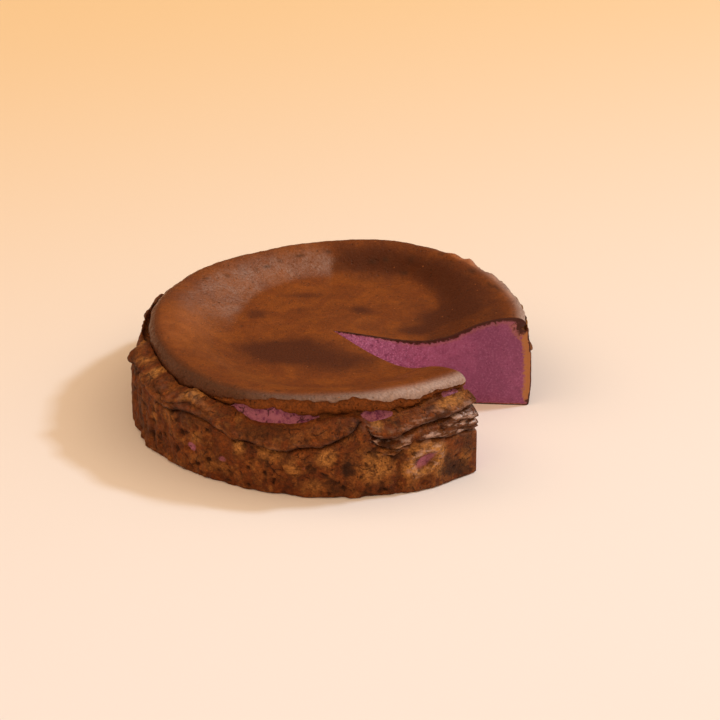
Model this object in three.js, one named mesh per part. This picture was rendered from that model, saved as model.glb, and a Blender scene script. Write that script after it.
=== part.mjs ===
// A purple yam cheesecake baked dark in the Basque way, with one eighth of it cut out.
// It is one solid: a thin smooth top skin that has risen, sunk in the middle and left a raised
// rim, a cracked neck under that rim, a side creased by its crumpled baking paper, and two
// knife-cut faces that meet at the middle.
// Millimetres and degrees, +Z up. The cake stands on z = 0 with its middle on the Z axis.
// Angles run anticlockwise seen from above: 0 is +X, and -90 is the front, towards -Y.

import * as THREE from "three";

// ---- Driving dimensions ----------------------------------------------------------------

const CUT_FAR_FACE = -4; // direction in which the far cut face runs from the middle
const CUT_NEAR_FACE = -49; // and the near one, an eighth of a turn further round
const CRUST_TURN = 360 - (CUT_FAR_FACE - CUT_NEAR_FACE); // what is left of the full circle

const COLUMNS = 112; // steps around the crust
const TOP_ROWS = 10; // steps from the middle to the crest of the rim
const SHOULDER_ROWS = 4; // from the crest over to the skin's torn edge
const NECK_ROWS = 4; // from the torn edge down into the crack below it
const ROLL_ROWS = 5; // down the roll of crust under the neck
const CRACK_ROWS = 3; // in and out of the crack under the roll
const SIDE_ROWS = 8; // down the lower side

const CREST_INSET = 5.5; // from the skin's torn edge in to the crest of the rim
const FLOOR_HEIGHT = 34.2; // the sunken top, near the middle
const EDGE_CURL = 0.9; // how far the torn edge curls under
const NECK_INSET = 1.6; // the neck stands this far in from the torn edge
const CRACK_MOUTH = 1.1; // height of the crack under the roll
const FOOT_ROUND = 1.6; // rounding where the side meets the base

// Swells and dents of the sunken top: [x, y, spread, height].
const FLOOR_SWELLS = [
  [0, 2, 14, 2.0],
  [40, 2, 17, -2.2],
  [-24, -30, 20, -1.0],
  [-20, 34, 22, 0.6],
];

// How the inner slope of the rim climbs: [share of the way out, share of the height].
const RIM_SLOPE = [
  [0, 0],
  [0.45, 0],
  [0.53, 0.04],
  [0.64, 0.16],
  [0.74, 0.36],
  [0.85, 0.68],
  [0.93, 0.88],
  [1, 1],
];

// Sizes that change around the cake, as [angle, size], joined smoothly all the way round.
const wallRadius = around([
  [-4, 92.5], [-28, 95.5], [-49, 98.6], [-66, 100], [-93, 100], [-118, 98.5], [-135, 98.5],
  [-150, 98], [-163, 96.3], [-176, 93.4], [165, 92.6], [148, 94.5], [120, 97], [90, 98.5],
  [45, 97], [18, 95],
]);
const skinRadius = around([
  [-4, 91], [-49, 91.5], [-70, 93.5], [-95, 94], [-115, 92.5], [-140, 89.5], [-165, 87],
  [180, 86], [150, 87.5], [120, 89], [90, 90.5], [45, 91.5], [18, 91],
]);
const crestHeight = around([
  [-4, 45.8], [-49, 46.5], [-70, 47.3], [-95, 46.5], [-115, 44.5], [-140, 44.8], [180, 45.5],
  [152, 46], [134, 46], [112, 45.6], [92, 45.8], [66, 47.4], [40, 47], [18, 46],
]);
const skinDrop = around([
  [-4, 4.5], [-60, 2.8], [-85, 3], [-97, 4.2], [-110, 4.8], [-121, 5], [-129, 3.6],
  [-137, 5], [-146, 3.6], [180, 4], [90, 4], [30, 4],
]);
const neckHeight = around([
  [-4, 4], [-30, 3.5], [-49, 3.6], [-57, 4.6], [-66, 6], [-80, 6.2], [-90, 5.8], [-99, 5],
  [-107, 5], [-113, 4.6], [-118, 2.6], [-124, 1], [-137, 0.6], [-150, 1], [-166, 3],
  [176, 5.4], [158, 6], [140, 4], [115, 4.5], [95, 4], [70, 1.5], [45, 2], [20, 3.5],
]);
const neckDepth = around([
  [-4, 2.6], [-49, 2.6], [-90, 3], [-110, 3], [-140, 2.6], [180, 2.4], [120, 3], [60, 3],
]);
const pocketDepth = around([
  [-4, 0.3], [-140, 0.4], [-155, 1.6], [-170, 3.6], [165, 3.4], [148, 1.2], [130, 0.3],
]);
const rollFoot = around([
  [-4, 31], [-25, 33], [-49, 32], [-60, 33], [-68, 33.4], [-76, 31.2], [-81, 31.5],
  [-86, 34.5], [-94, 28.7], [-104, 25.6], [-112, 26.2], [-118, 27.6], [-124, 30.2],
  [-130, 32.6], [-138, 31.6], [-147, 30.2], [-158, 33], [-172, 31], [170, 27], [150, 25],
  [125, 30], [100, 33], [75, 28], [50, 25], [25, 29],
]);
const rollSwell = around([
  [-4, 1], [-49, 1], [-70, 1.6], [-84, 0.3], [-92, 1.8], [-110, 2.6], [-130, 2.2],
  [-150, 1.4], [-165, 0.8], [180, 0.5], [165, 0.7], [150, 1.8], [120, 1], [90, 2.2],
  [60, 0.8], [30, 1.8],
]);
const crackDepth = around([
  [-4, 2.2], [-49, 2.8], [-70, 2.8], [-80, 2], [-84, 0.4], [-88, 2.4], [-95, 3.6],
  [-110, 3.6], [-130, 2.6], [-146, 1.8], [-160, 0.8], [180, 1.4], [150, 3.2], [120, 1.4],
  [90, 3.2], [60, 0.9], [30, 2.6],
]);
const footTuck = around([
  [-4, 0.6], [-49, 0], [-98, 0.2], [-108, 0.9], [-130, 0.9], [-150, 0.4], [180, 0.4],
  [135, 1.2], [90, 0.8], [45, 1.4],
]);

// Smaller horizontal folds of the side: the line each runs along, as [angle, height], then
// how far the crust swells above that line, how deep it is pinched along it, and how wide.
const FOLDS = [
  { line: [[-80, 28], [-74, 25.4], [-66, 27.6], [-58, 26.4], [-49, 24.6]], swell: 1.3, pinch: 1.6, width: 3.4 },
  { line: [[-70, 36], [-62, 39], [-49, 37.6]], swell: 0.9, pinch: 1.2, width: 3 },
  { line: [[-4, 24], [8, 22], [20, 24.5], [32, 22]], swell: 1.2, pinch: 1.6, width: 4 },
  { line: [[62, 20], [76, 22], [92, 25.5], [104, 25]], swell: 1.2, pinch: 1.4, width: 4 },
  { line: [[124, 22], [138, 18.5], [152, 18], [168, 21]], swell: 1.2, pinch: 1.4, width: 4 },
];

// Upright creases pressed in by folds of the baking paper: [angle, depth, lean per mm up].
const CREASES = [
  [-73.5, 1, 0.05], [-86.5, 1, -0.1], [-103, 1.4, 0.05], [-121, 1, 0.15], [-137, 1.2, -0.15],
  [-151, 1.4, 0.1], [-160, 1.2, -0.1], [-173, 1, 0.1], [168, 1.4, -0.15], [149, 1.2, 0.1],
  [131, 1.6, 0.1], [112, 1, -0.15], [97, 1.6, 0.1], [79, 1.2, 0], [61, 1.6, -0.1],
  [44, 1, 0.15], [27, 1.6, -0.1], [10, 1.2, 0.1],
];
const CREASE_WIDTH = 3.4; // mm along the side, to where a crease has faded to about a third
const CREASE_TOP = 30; // creases fade out at this height

// ---- Curves ----------------------------------------------------------------------------

// A smooth cubic through the values at the given places; ends are level.
function cubicThrough(stations) {
  const last = stations.length - 1;
  const slope = stations.map(([at], i) => {
    if (i === 0 || i === last) return 0;
    return (stations[i + 1][1] - stations[i - 1][1]) / (stations[i + 1][0] - stations[i - 1][0]);
  });
  return (place) => {
    const at = Math.min(Math.max(place, stations[0][0]), stations[last][0]);
    let i = 0;
    while (i < last - 1 && at > stations[i + 1][0]) i++;
    const span = stations[i + 1][0] - stations[i][0];
    const t = (at - stations[i][0]) / span;
    return (
      (2 * t ** 3 - 3 * t ** 2 + 1) * stations[i][1] +
      (t ** 3 - 2 * t ** 2 + t) * span * slope[i] +
      (3 * t ** 2 - 2 * t ** 3) * stations[i + 1][1] +
      (t ** 3 - t ** 2) * span * slope[i + 1]
    );
  };
}

// The same through [angle, size] pairs, closed on itself after a full turn.
function around(stations) {
  const sorted = stations
    .map(([angle, size]) => [THREE.MathUtils.euclideanModulo(angle, 360), size])
    .sort((a, b) => a[0] - b[0]);
  const before = sorted.slice(-2).map(([angle, size]) => [angle - 360, size]);
  const after = sorted.slice(0, 2).map(([angle, size]) => [angle + 360, size]);
  const curve = cubicThrough([...before, ...sorted, ...after]);
  return (angle) => curve(THREE.MathUtils.euclideanModulo(angle, 360));
}

// The shortest way round from one angle to another, in degrees.
function turnBetween(from, to) {
  return THREE.MathUtils.euclideanModulo(to - from + 180, 360) - 180;
}

const rimSlope = cubicThrough(RIM_SLOPE);
const foldLines = FOLDS.map(({ line }) => ({
  start: line[0][0],
  turn: Math.abs(turnBetween(line[0][0], line[line.length - 1][0])),
  way: Math.sign(turnBetween(line[0][0], line[1][0])),
  height: cubicThrough(line.map(([angle, z]) => [Math.abs(turnBetween(line[0][0], angle)), z])),
}));

// ---- Shape of the crust ----------------------------------------------------------------

function crestRadius(angle) {
  return skinRadius(angle) - CREST_INSET;
}

// Height of the top at a share of the way from the middle to the crest.
function topHeight(angle, share) {
  const turn = THREE.MathUtils.degToRad(angle);
  const reach = share * crestRadius(angle);
  const x = reach * Math.cos(turn);
  const y = reach * Math.sin(turn);
  const floor = FLOOR_SWELLS.reduce(
    (height, [atX, atY, spread, swell]) =>
      height + swell * Math.exp(-((x - atX) ** 2 + (y - atY) ** 2) / (2 * spread ** 2)),
    FLOOR_HEIGHT,
  );
  return floor + (crestHeight(angle) - floor) * rimSlope(share);
}

// How far the side leans out at a height: a low belly that draws in towards the rim.
function lean(z) {
  const up = Math.min(Math.max((z - 22) / 24, 0), 2);
  return 1 - 2.5 * up ** 2;
}

function foldRelief(angle, z) {
  return FOLDS.reduce((relief, { swell, pinch, width }, i) => {
    const { start, turn, way, height } = foldLines[i];
    const along = turnBetween(start, angle) * way;
    const ends = THREE.MathUtils.smoothstep(along, -2, 5) * (1 - THREE.MathUtils.smoothstep(along, turn - 3, turn + 3));
    const above = (z - height(along)) / width;
    const bulge = above > 0 ? swell * Math.sin(Math.PI * Math.min(above, 1)) : 0;
    return relief + ends * (bulge - pinch * Math.exp(-((above * 3) ** 2)));
  }, 0);
}

function creaseRelief(angle, z) {
  const fade = 1 - THREE.MathUtils.smoothstep(z, CREASE_TOP * 0.5, CREASE_TOP);
  return CREASES.reduce((relief, [at, depth, leaning]) => {
    const arc = THREE.MathUtils.degToRad(turnBetween(at + leaning * z, angle)) * wallRadius(angle);
    return relief - fade * depth * Math.exp(-Math.abs(arc) / CREASE_WIDTH);
  }, 0);
}

function sideRadius(angle, z) {
  return wallRadius(angle) + lean(z) + foldRelief(angle, z) + creaseRelief(angle, z);
}

// The outline of the crust in the half plane at an angle, as [radius, height] from the crest
// of the rim down to the edge of the base.
function crustOutline(angle) {
  const points = [];
  const edgeRadius = skinRadius(angle);
  const edgeHeight = crestHeight(angle) - skinDrop(angle);
  for (let i = 1; i <= SHOULDER_ROWS; i++) {
    const turn = (Math.PI / 2) * (i / SHOULDER_ROWS);
    points.push([
      crestRadius(angle) + CREST_INSET * Math.sin(turn),
      edgeHeight + skinDrop(angle) * Math.cos(turn),
    ]);
  }

  // Under the torn edge: in to the neck, down it, and into the crack at its foot.
  const rollTop = edgeHeight - neckHeight(angle);
  const pocket = Math.min(edgeHeight, rollTop) - pocketDepth(angle);
  const neckRadius = edgeRadius - NECK_INSET;
  points.push([neckRadius, edgeHeight - EDGE_CURL]);
  for (let i = 1; i < NECK_ROWS; i++) {
    const down = i / (NECK_ROWS - 1);
    points.push([
      neckRadius - (neckDepth(angle) - NECK_INSET) * down ** 2,
      THREE.MathUtils.lerp(edgeHeight - EDGE_CURL, pocket - EDGE_CURL * 0.4, down),
    ]);
  }

  // The roll of crust below the neck, with its crack underneath.
  const foot = rollFoot(angle);
  const lipHeight = rollTop - EDGE_CURL * 0.6;
  for (let i = 0; i <= ROLL_ROWS; i++) {
    const down = i / ROLL_ROWS;
    const z = THREE.MathUtils.lerp(lipHeight, foot, down);
    const swell = rollSwell(angle) * Math.sin(Math.PI * Math.min(down + 0.12, 1)) ** 0.7;
    const lip = i === 0 ? 1.4 : 0;
    points.push([sideRadius(angle, z) + swell - lip, z]);
  }
  for (let i = 1; i < CRACK_ROWS; i++) {
    const down = i / CRACK_ROWS;
    const z = foot - CRACK_MOUTH * down;
    points.push([sideRadius(angle, z) - crackDepth(angle) * Math.sin(Math.PI * down), z]);
  }

  // The lower side, down to a rounded foot.
  const sideTop = foot - CRACK_MOUTH;
  for (let i = 0; i <= SIDE_ROWS; i++) {
    const down = i / SIDE_ROWS;
    const z = THREE.MathUtils.lerp(sideTop, FOOT_ROUND, down);
    points.push([sideRadius(angle, z) - footTuck(angle) * down ** 3, z]);
  }
  const [footRadius] = points[points.length - 1];
  points.push([footRadius - FOOT_ROUND * 0.3, FOOT_ROUND * 0.3]);
  points.push([footRadius - FOOT_ROUND, 0]);
  return points;
}

// The whole outline at an angle, from just off the middle of the top to the edge of the base;
// the middle points of the top and the base are shared by every angle.
function cakeOutline(angle) {
  const top = [];
  for (let i = 1; i <= TOP_ROWS; i++) {
    const share = (i / TOP_ROWS) ** 0.85;
    top.push([share * crestRadius(angle), topHeight(angle, share)]);
  }
  return [...top, ...crustOutline(angle)];
}

// ---- The solid -------------------------------------------------------------------------

function cakeGeometry() {
  const outlines = [];
  for (let column = 0; column <= COLUMNS; column++) {
    const angle = CUT_FAR_FACE + (CRUST_TURN * column) / COLUMNS;
    outlines.push({ angle, points: cakeOutline(angle) });
  }
  const rows = outlines[0].points.length;

  const positions = [];
  for (const { angle, points } of outlines) {
    const turn = THREE.MathUtils.degToRad(angle);
    for (const [radius, z] of points) {
      positions.push(radius * Math.cos(turn), radius * Math.sin(turn), z);
    }
  }
  const topMiddle = positions.length / 3;
  positions.push(0, 0, topHeight(0, 0));
  const baseMiddle = topMiddle + 1;
  positions.push(0, 0, 0);

  // The baked surface: a fan at each middle point and a grid of quads between them.
  const faces = [];
  for (let column = 0; column < COLUMNS; column++) {
    const here = column * rows;
    const next = here + rows;
    faces.push(topMiddle, here, next);
    for (let row = 0; row < rows - 1; row++) {
      faces.push(here + row, here + row + 1, next + row + 1);
      faces.push(here + row, next + row + 1, next + row);
    }
    faces.push(baseMiddle, next + rows - 1, here + rows - 1);
  }

  // The two cut faces: each is the cake's outline at that angle, closed along the axis.
  const cutFaces = [
    { column: 0, clockwise: false },
    { column: COLUMNS, clockwise: true },
  ];
  for (const { column, clockwise } of cutFaces) {
    const outline = outlines[column].points.map(([radius, z]) => new THREE.Vector2(radius, z));
    const middle = [new THREE.Vector2(0, 0), new THREE.Vector2(0, topHeight(0, 0))];
    const corners = outline.map((_, row) => column * rows + row).concat(baseMiddle, topMiddle);
    const contour = [...outline, ...middle];
    for (const triangle of THREE.ShapeUtils.triangulateShape(contour, [])) {
      const [a, b, c] = triangle.map((corner) => corners[corner]);
      const area = THREE.ShapeUtils.area(triangle.map((corner) => contour[corner]));
      if (area < 0 === clockwise) faces.push(a, b, c);
      else faces.push(a, c, b);
    }
  }

  const geometry = new THREE.BufferGeometry();
  geometry.setAttribute("position", new THREE.Float32BufferAttribute(positions, 3));
  geometry.setIndex(faces);
  geometry.computeVertexNormals();
  return geometry;
}

const bakedCrust = new THREE.MeshStandardMaterial({
  color: 0x6e3a1c,
  roughness: 0.6,
  metalness: 0,
});

const cheesecake = new THREE.Mesh(cakeGeometry(), bakedCrust);
cheesecake.name = "cheesecake";

const part = new THREE.Group();
part.add(cheesecake);

export default part;
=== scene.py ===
"""A purple yam cheesecake, baked dark in the Basque way, with one eighth of it cut out.

The cake is one closed mesh. Its baked surface is a grid: columns run around the cake, rows run
from the middle of the top out over the rim, down the cracked and creased side, and back under
to the middle of the base. The two knife cuts are filled with triangles. Skin, crust and cut
custard are three materials. All shape work is in millimetres and degrees, and turns to metres
where the mesh is made.

Angles run anticlockwise seen from above. 0 is +X and -90 is the front, towards -Y.
"""

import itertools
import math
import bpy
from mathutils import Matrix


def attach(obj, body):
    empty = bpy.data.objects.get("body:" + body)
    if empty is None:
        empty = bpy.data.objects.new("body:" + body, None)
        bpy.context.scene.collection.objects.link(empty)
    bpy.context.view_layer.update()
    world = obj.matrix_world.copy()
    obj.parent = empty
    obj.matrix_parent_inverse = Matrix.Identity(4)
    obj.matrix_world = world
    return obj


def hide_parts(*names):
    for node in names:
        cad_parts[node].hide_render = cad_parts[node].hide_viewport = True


bl_info = {
    "name": "Burnt Purple Yam Cheesecake",
    "version": (1, 0, 0),
    "blender": (4, 5, 0),
    "location": "3D View > Sidebar > Cheesecake",
    "description": "Builds a dark-baked cheesecake with a wedge cut out, and its stage",
    "category": "Add Mesh",
}

from functools import partial
from types import SimpleNamespace

import bpy
import numpy as np
from bpy.props import FloatProperty, FloatVectorProperty, IntProperty, PointerProperty
from bpy.types import Operator, Panel, PropertyGroup
from mathutils import Vector
from mathutils.geometry import delaunay_2d_cdt

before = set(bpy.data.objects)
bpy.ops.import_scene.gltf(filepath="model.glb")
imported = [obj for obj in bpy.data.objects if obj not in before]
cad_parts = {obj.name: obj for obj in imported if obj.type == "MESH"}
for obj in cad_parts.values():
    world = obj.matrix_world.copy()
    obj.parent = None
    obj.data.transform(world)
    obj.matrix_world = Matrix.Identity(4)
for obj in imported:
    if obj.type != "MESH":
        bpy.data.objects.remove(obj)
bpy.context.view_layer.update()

MM = 0.001  # one millimetre in metres

# ---- Outline of the cake, in millimetres and degrees ------------------------------------

CUT_FAR_FACE = -4.0  # direction in which the far cut face runs from the middle
CUT_NEAR_FACE = -49.0  # and the near one, an eighth of a turn further round
CRUST_TURN = 360.0 - (CUT_FAR_FACE - CUT_NEAR_FACE)

CREST_INSET = 5.5  # from the skin's torn edge in to the crest of the rim
SKIN_EDGE = 0.6  # thickness of the skin where it is torn
FOOT_ROUND = 1.6  # rounding where the side meets the base
LIP_THICKNESS = 1.7  # crust that stands outside the groove under the rim
BELLY_HEIGHT = 22.0  # below it the side stands upright, above it draws in
RIM_CIRCLE = 95.0  # radius of the circle in which the noise around the rim is read

# The sunken top: its height, and its swells and dents as x, y, spread and height.
FLOOR_HEIGHT = 34.2
FLOOR_SWELLS = [
    (0, 2, 14, 2.0), (40, 2, 17, -2.2), (-24, -30, 20, -1.0), (-20, 34, 22, 0.6),
]

# How the inner slope of the rim climbs: share of the way out, share of the height.
RIM_SLOPE = [
    (0, 0), (0.45, 0), (0.54, 0.04), (0.65, 0.21), (0.73, 0.45), (0.82, 0.73), (0.91, 0.91),
    (1, 1),
]

# Where on the way out the rim starts to climb. It is a wall at the back, a slope elsewhere.
CLIMB_START = [
    (-4, 0.45), (-49, 0.45), (-62, 0.5), (-90, 0.56), (-130, 0.55), (180, 0.52), (150, 0.56),
    (134, 0.62), (112, 0.69), (92, 0.73), (74, 0.76), (60, 0.78), (48, 0.74), (36, 0.66),
    (24, 0.55), (10, 0.46),
]

# Sizes that change around the cake, as angle and size.
WALL_RADIUS = [
    (-4, 92.5), (-28, 95.5), (-49, 98.6), (-66, 100), (-93, 100), (-118, 98.5), (-135, 98.5),
    (-150, 98), (-163, 96.3), (-176, 93.4), (165, 92.6), (148, 94), (120, 96.4), (90, 98.2),
    (45, 96), (18, 94),
]
SKIN_RADIUS = [
    (-4, 90.8), (-49, 91.5), (-70, 93.5), (-95, 94), (-115, 92.5), (-140, 89.5), (-165, 87),
    (180, 86), (150, 87.5), (120, 89), (90, 90.5), (56, 91), (44, 90.4), (34, 90.2), (24, 90),
    (14, 90.2), (5, 90.6),
]
CREST_HEIGHT = [
    (-4, 45.6), (-49, 46.5), (-70, 47.3), (-95, 46.5), (-115, 44.5), (-140, 44.8), (180, 45.2),
    (165, 44.4), (152, 43.6), (134, 43.8), (120, 43.4), (112, 43.5), (104, 44), (92, 45.2),
    (66, 47), (40, 46.4), (18, 45.4),
]
SKIN_DROP = [  # from the crest down to the torn edge of the skin
    (-4, 4), (-49, 4), (-56, 3.4), (-60, 3.2), (-65, 4.1), (-70, 4.1), (-75, 3.5), (-80, 1.8),
    (-85, 1), (-89, 2.1), (-93, 1.9), (-98, 1.1), (-103, 1), (-107, 1.6), (-112, 2.6),
    (-116, 3.5), (-120, 4.1), (-123, 4.9), (-127, 6.1), (-131, 5.8), (-136, 7.8), (-140, 9.2),
    (-143, 8), (-148, 7), (-151, 7.4), (-156, 6.4), (-163, 6), (-172, 5.4), (176, 4.6),
    (160, 4), (90, 4), (60, 4), (40, 3.4), (20, 3.6),
]
BAND_HEIGHT = [  # brown band that shows below the torn edge
    (-4, 0.8), (-49, 1.4), (-56, 1.3), (-60, 1.9), (-65, 2.2), (-70, 4), (-75, 3.9), (-80, 5.5),
    (-85, 7), (-90, 6.3), (-95, 7), (-99, 7.4), (-102, 6.4), (-106, 4.8), (-110, 4.4),
    (-114, 3.4), (-117, 2.1), (-120, 3.6), (-123, 2.4), (-126, 0.4), (-140, 0.3), (180, 0.3),
    (150, 0.5), (120, 2.4), (95, 2.8), (70, 0.6), (30, 0.6),
]
LIP_HEIGHT = [  # top of the crust below the neck
    (-4, 40.4), (-49, 39), (-55, 39.8), (-60, 39.8), (-65, 38.6), (-70, 38.2), (-75, 35.8),
    (-79.5, 34.8), (-82.5, 37.8), (-88, 37.9), (-92, 37.1), (-95.5, 35.8), (-98.5, 34.4),
    (-102, 33.4), (-106, 32.5), (-112.5, 32.5), (-116.5, 35), (-119, 36.4), (-123, 36.6),
    (-127, 38), (-131, 38.9), (-136, 37.4), (-140, 36.2), (-143, 37.6), (-149, 38.3),
    (-155, 39), (-160, 39.7), (-165, 40.6), (-170, 38.6), (-177, 38.6), (176, 39.2),
    (167, 39.6), (160, 40.6), (154, 38.6), (146, 38.8), (134, 38), (118, 36.8), (96, 37.4),
    (80, 41), (66, 41.8), (56, 41.6), (50.5, 41.6), (47.5, 42.4), (43.5, 42.8), (40, 42.6),
    (38, 42), (35, 41.4), (31, 42.4), (27, 42.2), (24, 41), (20, 40.4), (17, 41.4), (12, 41.2),
    (8, 40), (3, 40),
]
LIP_OFFSET = [  # how far its inner face stands outside the skin's torn edge
    (-4, 0.3), (-49, 0.2), (-60, 0.4), (-70, 0.4), (-77, 0.2), (-95, 0.2), (-112, 0.1),
    (-124, 0.2), (-140, 0.1), (-150, 0.1), (-160, 0.2), (-166, 0.8), (-170, 2.2), (-174, 3),
    (178, 3), (170, 2.6), (164, 1.9), (158, 1), (152, 0.5), (96, 0.3), (60, 0.5), (48, 1),
    (40, 1), (34, 0.4), (26, 0.5), (18, 0.2), (8, 0.1),
]
GROOVE_DEPTH = [  # groove behind that lip
    (-4, 1.4), (-49, 1), (-90, 0.8), (-100, 0.4), (-118, 0.4), (-124, 0.8), (-138, 0.7),
    (-150, 0.7), (-160, 0.8), (-167, 1.6), (-174, 3.4), (176, 3.8), (160, 3.2), (148, 1.4),
    (134, 0.6), (86, 0.5), (60, 1.2), (50, 2.6), (42, 2.6), (30, 1.2), (12, 0.7),
]
NECK_DEPTH = [  # how far in the custard lies under the torn edge
    (-4, 2.4), (-49, 2.2), (-60, 2.6), (-80, 2.6), (-100, 2.4), (-112, 2.2), (-124, 2.6),
    (-140, 2.6), (180, 2.2), (120, 3), (60, 2.4),
]
FOOT_TUCK = [  # how far the side draws in towards the table
    (-4, 0.6), (-49, 0), (-98, 0.2), (-103, 0.3), (-106, 1.1), (-130, 0.9), (-150, 0.4),
    (180, 0.4), (135, 1.2), (90, 0.8), (45, 1.4),
]
HEAD_TUCK = [  # and towards the top
    (-4, 0.6), (-30, 0), (-150, 0), (-164, 0), (-170, 2), (-176, 3.4), (175, 3.6), (164, 2.6),
    (152, 1.2), (140, 0.6), (75, 0.6), (60, 1.6), (48, 2.6), (30, 3), (15, 2.8), (5, 2),
]

# Folds of the crust. Each runs along a line of angle and height, left to right as seen from
# outside. The crust is pinched in along it by depth, over a width to either side, swells out
# above it by swell over a height, hangs down over it by hang, and is wet by a share.
FOLDS = [
    # Main crack
    dict(depth=3.6, width=1.2, swell=2.7, rise=9.5, hang=1.4, wet=0.1, line=[
        (-166, 31.4), (-162, 33), (-156, 32.6), (-150, 31.2), (-144, 29.4), (-138, 28.4),
        (-133, 30.4), (-128, 31.4), (-124, 30.2), (-120, 28.2), (-116, 25.6), (-112, 25.4),
        (-108.6, 24.6), (-105, 23.6), (-101.7, 23.5), (-98.3, 25), (-95, 26), (-91.7, 27.1),
        (-88.5, 29.9), (-86, 32.2), (-84, 34), (-82.2, 36),
    ]),
    # Right fold
    dict(depth=3.2, width=1.7, swell=1.9, rise=5.6, hang=0.9, wet=0.55, line=[
        (-80.8, 34.2), (-79.8, 31.2), (-77.5, 28.8), (-74.7, 28.1), (-72, 29.7), (-69.2, 31.3),
        (-66.4, 32.3), (-63.5, 32.9), (-60.5, 33.4), (-57.5, 33.9), (-54, 33.8), (-49, 34.2),
    ]),
    # Glossy fold
    dict(depth=2.2, width=0.9, swell=1.2, rise=3, hang=0.7, wet=1, line=[
        (-67.5, 25.2), (-65, 25.8), (-63, 25.2), (-60.5, 24.7), (-57.5, 24.4), (-54, 24),
        (-49, 23),
    ]),
    # Glossy wrinkle
    dict(depth=1.4, width=0.7, swell=1.3, rise=3, hang=0.4, wet=1, line=[
        (-60.5, 29.2), (-56, 30), (-52, 29), (-49, 28.2),
    ]),
    # Low wrinkle
    dict(depth=1, width=0.6, swell=0.9, rise=2, hang=0.3, wet=1, line=[
        (-58.5, 26.9), (-55, 26.6), (-52, 25.6), (-49, 25.2),
    ]),
    # Curled fold
    dict(depth=1.7, width=0.8, swell=1.6, rise=3, hang=0.5, wet=0.8, line=[
        (-80.2, 28.6), (-78, 25.6), (-75.5, 24.2), (-73.6, 23.9), (-72, 24.1), (-69.7, 24.8),
        (-68.4, 26.4),
    ]),
    # Torn flake
    dict(depth=0.9, width=0.6, swell=0.5, rise=2, hang=0.3, wet=0.2, line=[
        (-79, 22.8), (-76.5, 22), (-74, 22.2), (-72, 23),
    ]),
    # Small flake
    dict(depth=1.1, width=0.6, swell=0.6, rise=2, hang=0.3, wet=0.3, line=[
        (-77, 21), (-74.6, 19.9), (-72.6, 20.5), (-71.2, 22),
    ]),
    # Roll's upper crease
    dict(depth=1, width=0.8, swell=0.7, rise=2.4, hang=0.2, wet=0.1, line=[
        (-147, 34.8), (-142, 33), (-137, 32), (-131, 34.8), (-127, 35), (-123, 33.4),
    ]),
    # Under lip
    dict(depth=0.7, width=0.7, swell=0.6, rise=1.6, hang=0.2, wet=0, line=[
        (-121, 25.6), (-116, 23.6), (-110, 23), (-104, 21.6),
    ]),
    # Left crack
    dict(depth=1, width=0.8, swell=0.7, rise=3, hang=0.3, wet=0, line=[
        (-172, 25), (-166, 26.4), (-160, 25.6), (-154, 23),
    ]),
    # Back crack
    dict(depth=2.8, width=1.1, swell=2.2, rise=9, hang=0.9, wet=0.15, line=[
        (20, 26), (27, 25), (38, 28.4), (50, 25.2), (62, 24), (75, 28), (88, 31.6), (100, 32.6),
        (112, 30.6), (124, 30), (136, 26.4), (148, 25), (160, 26.6),
    ]),
    # Back fold
    dict(depth=2.4, width=1.1, swell=1.6, rise=4.6, hang=0.7, wet=0.5, line=[
        (3, 32), (8, 32.8), (16, 35), (26, 37), (36, 37.4), (48, 36), (60, 37.6),
    ]),
    # Right rear fold
    dict(depth=1.5, width=0.9, swell=1.4, rise=4.5, hang=0.5, wet=0.4, line=[
        (2, 23.4), (6, 22.6), (13, 24.2), (22, 22.4), (31, 21.4),
    ]),
    # Back wrinkle
    dict(depth=1.3, width=0.8, swell=1.3, rise=4, hang=0.4, wet=0.3, line=[
        (64, 20), (76, 22.2), (90, 25.4), (104, 25),
    ]),
    # Back upper fold
    dict(depth=1.2, width=0.8, swell=0.8, rise=2.4, hang=0.3, wet=0.6, line=[
        (86, 35.4), (96, 34.6), (108, 35.6), (118, 34),
    ]),
    # Left rear wrinkle
    dict(depth=1.4, width=0.9, swell=1.3, rise=4, hang=0.4, wet=0.1, line=[
        (124, 22), (137, 18.6), (150, 18), (166, 21),
    ]),
]
FOLD_FADE = 2.6  # degrees over which a fold comes up from each of its ends
RUN_UP = 20.0  # degrees before a line's start that still count as before it
BY_THE_CUT = 6  # degrees over which a fold that ends at the near cut doesn't fade
ROW_PULL = 0.62  # how strongly rows gather at a fold, and within how many millimetres
ROW_REACH = 2.6

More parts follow.
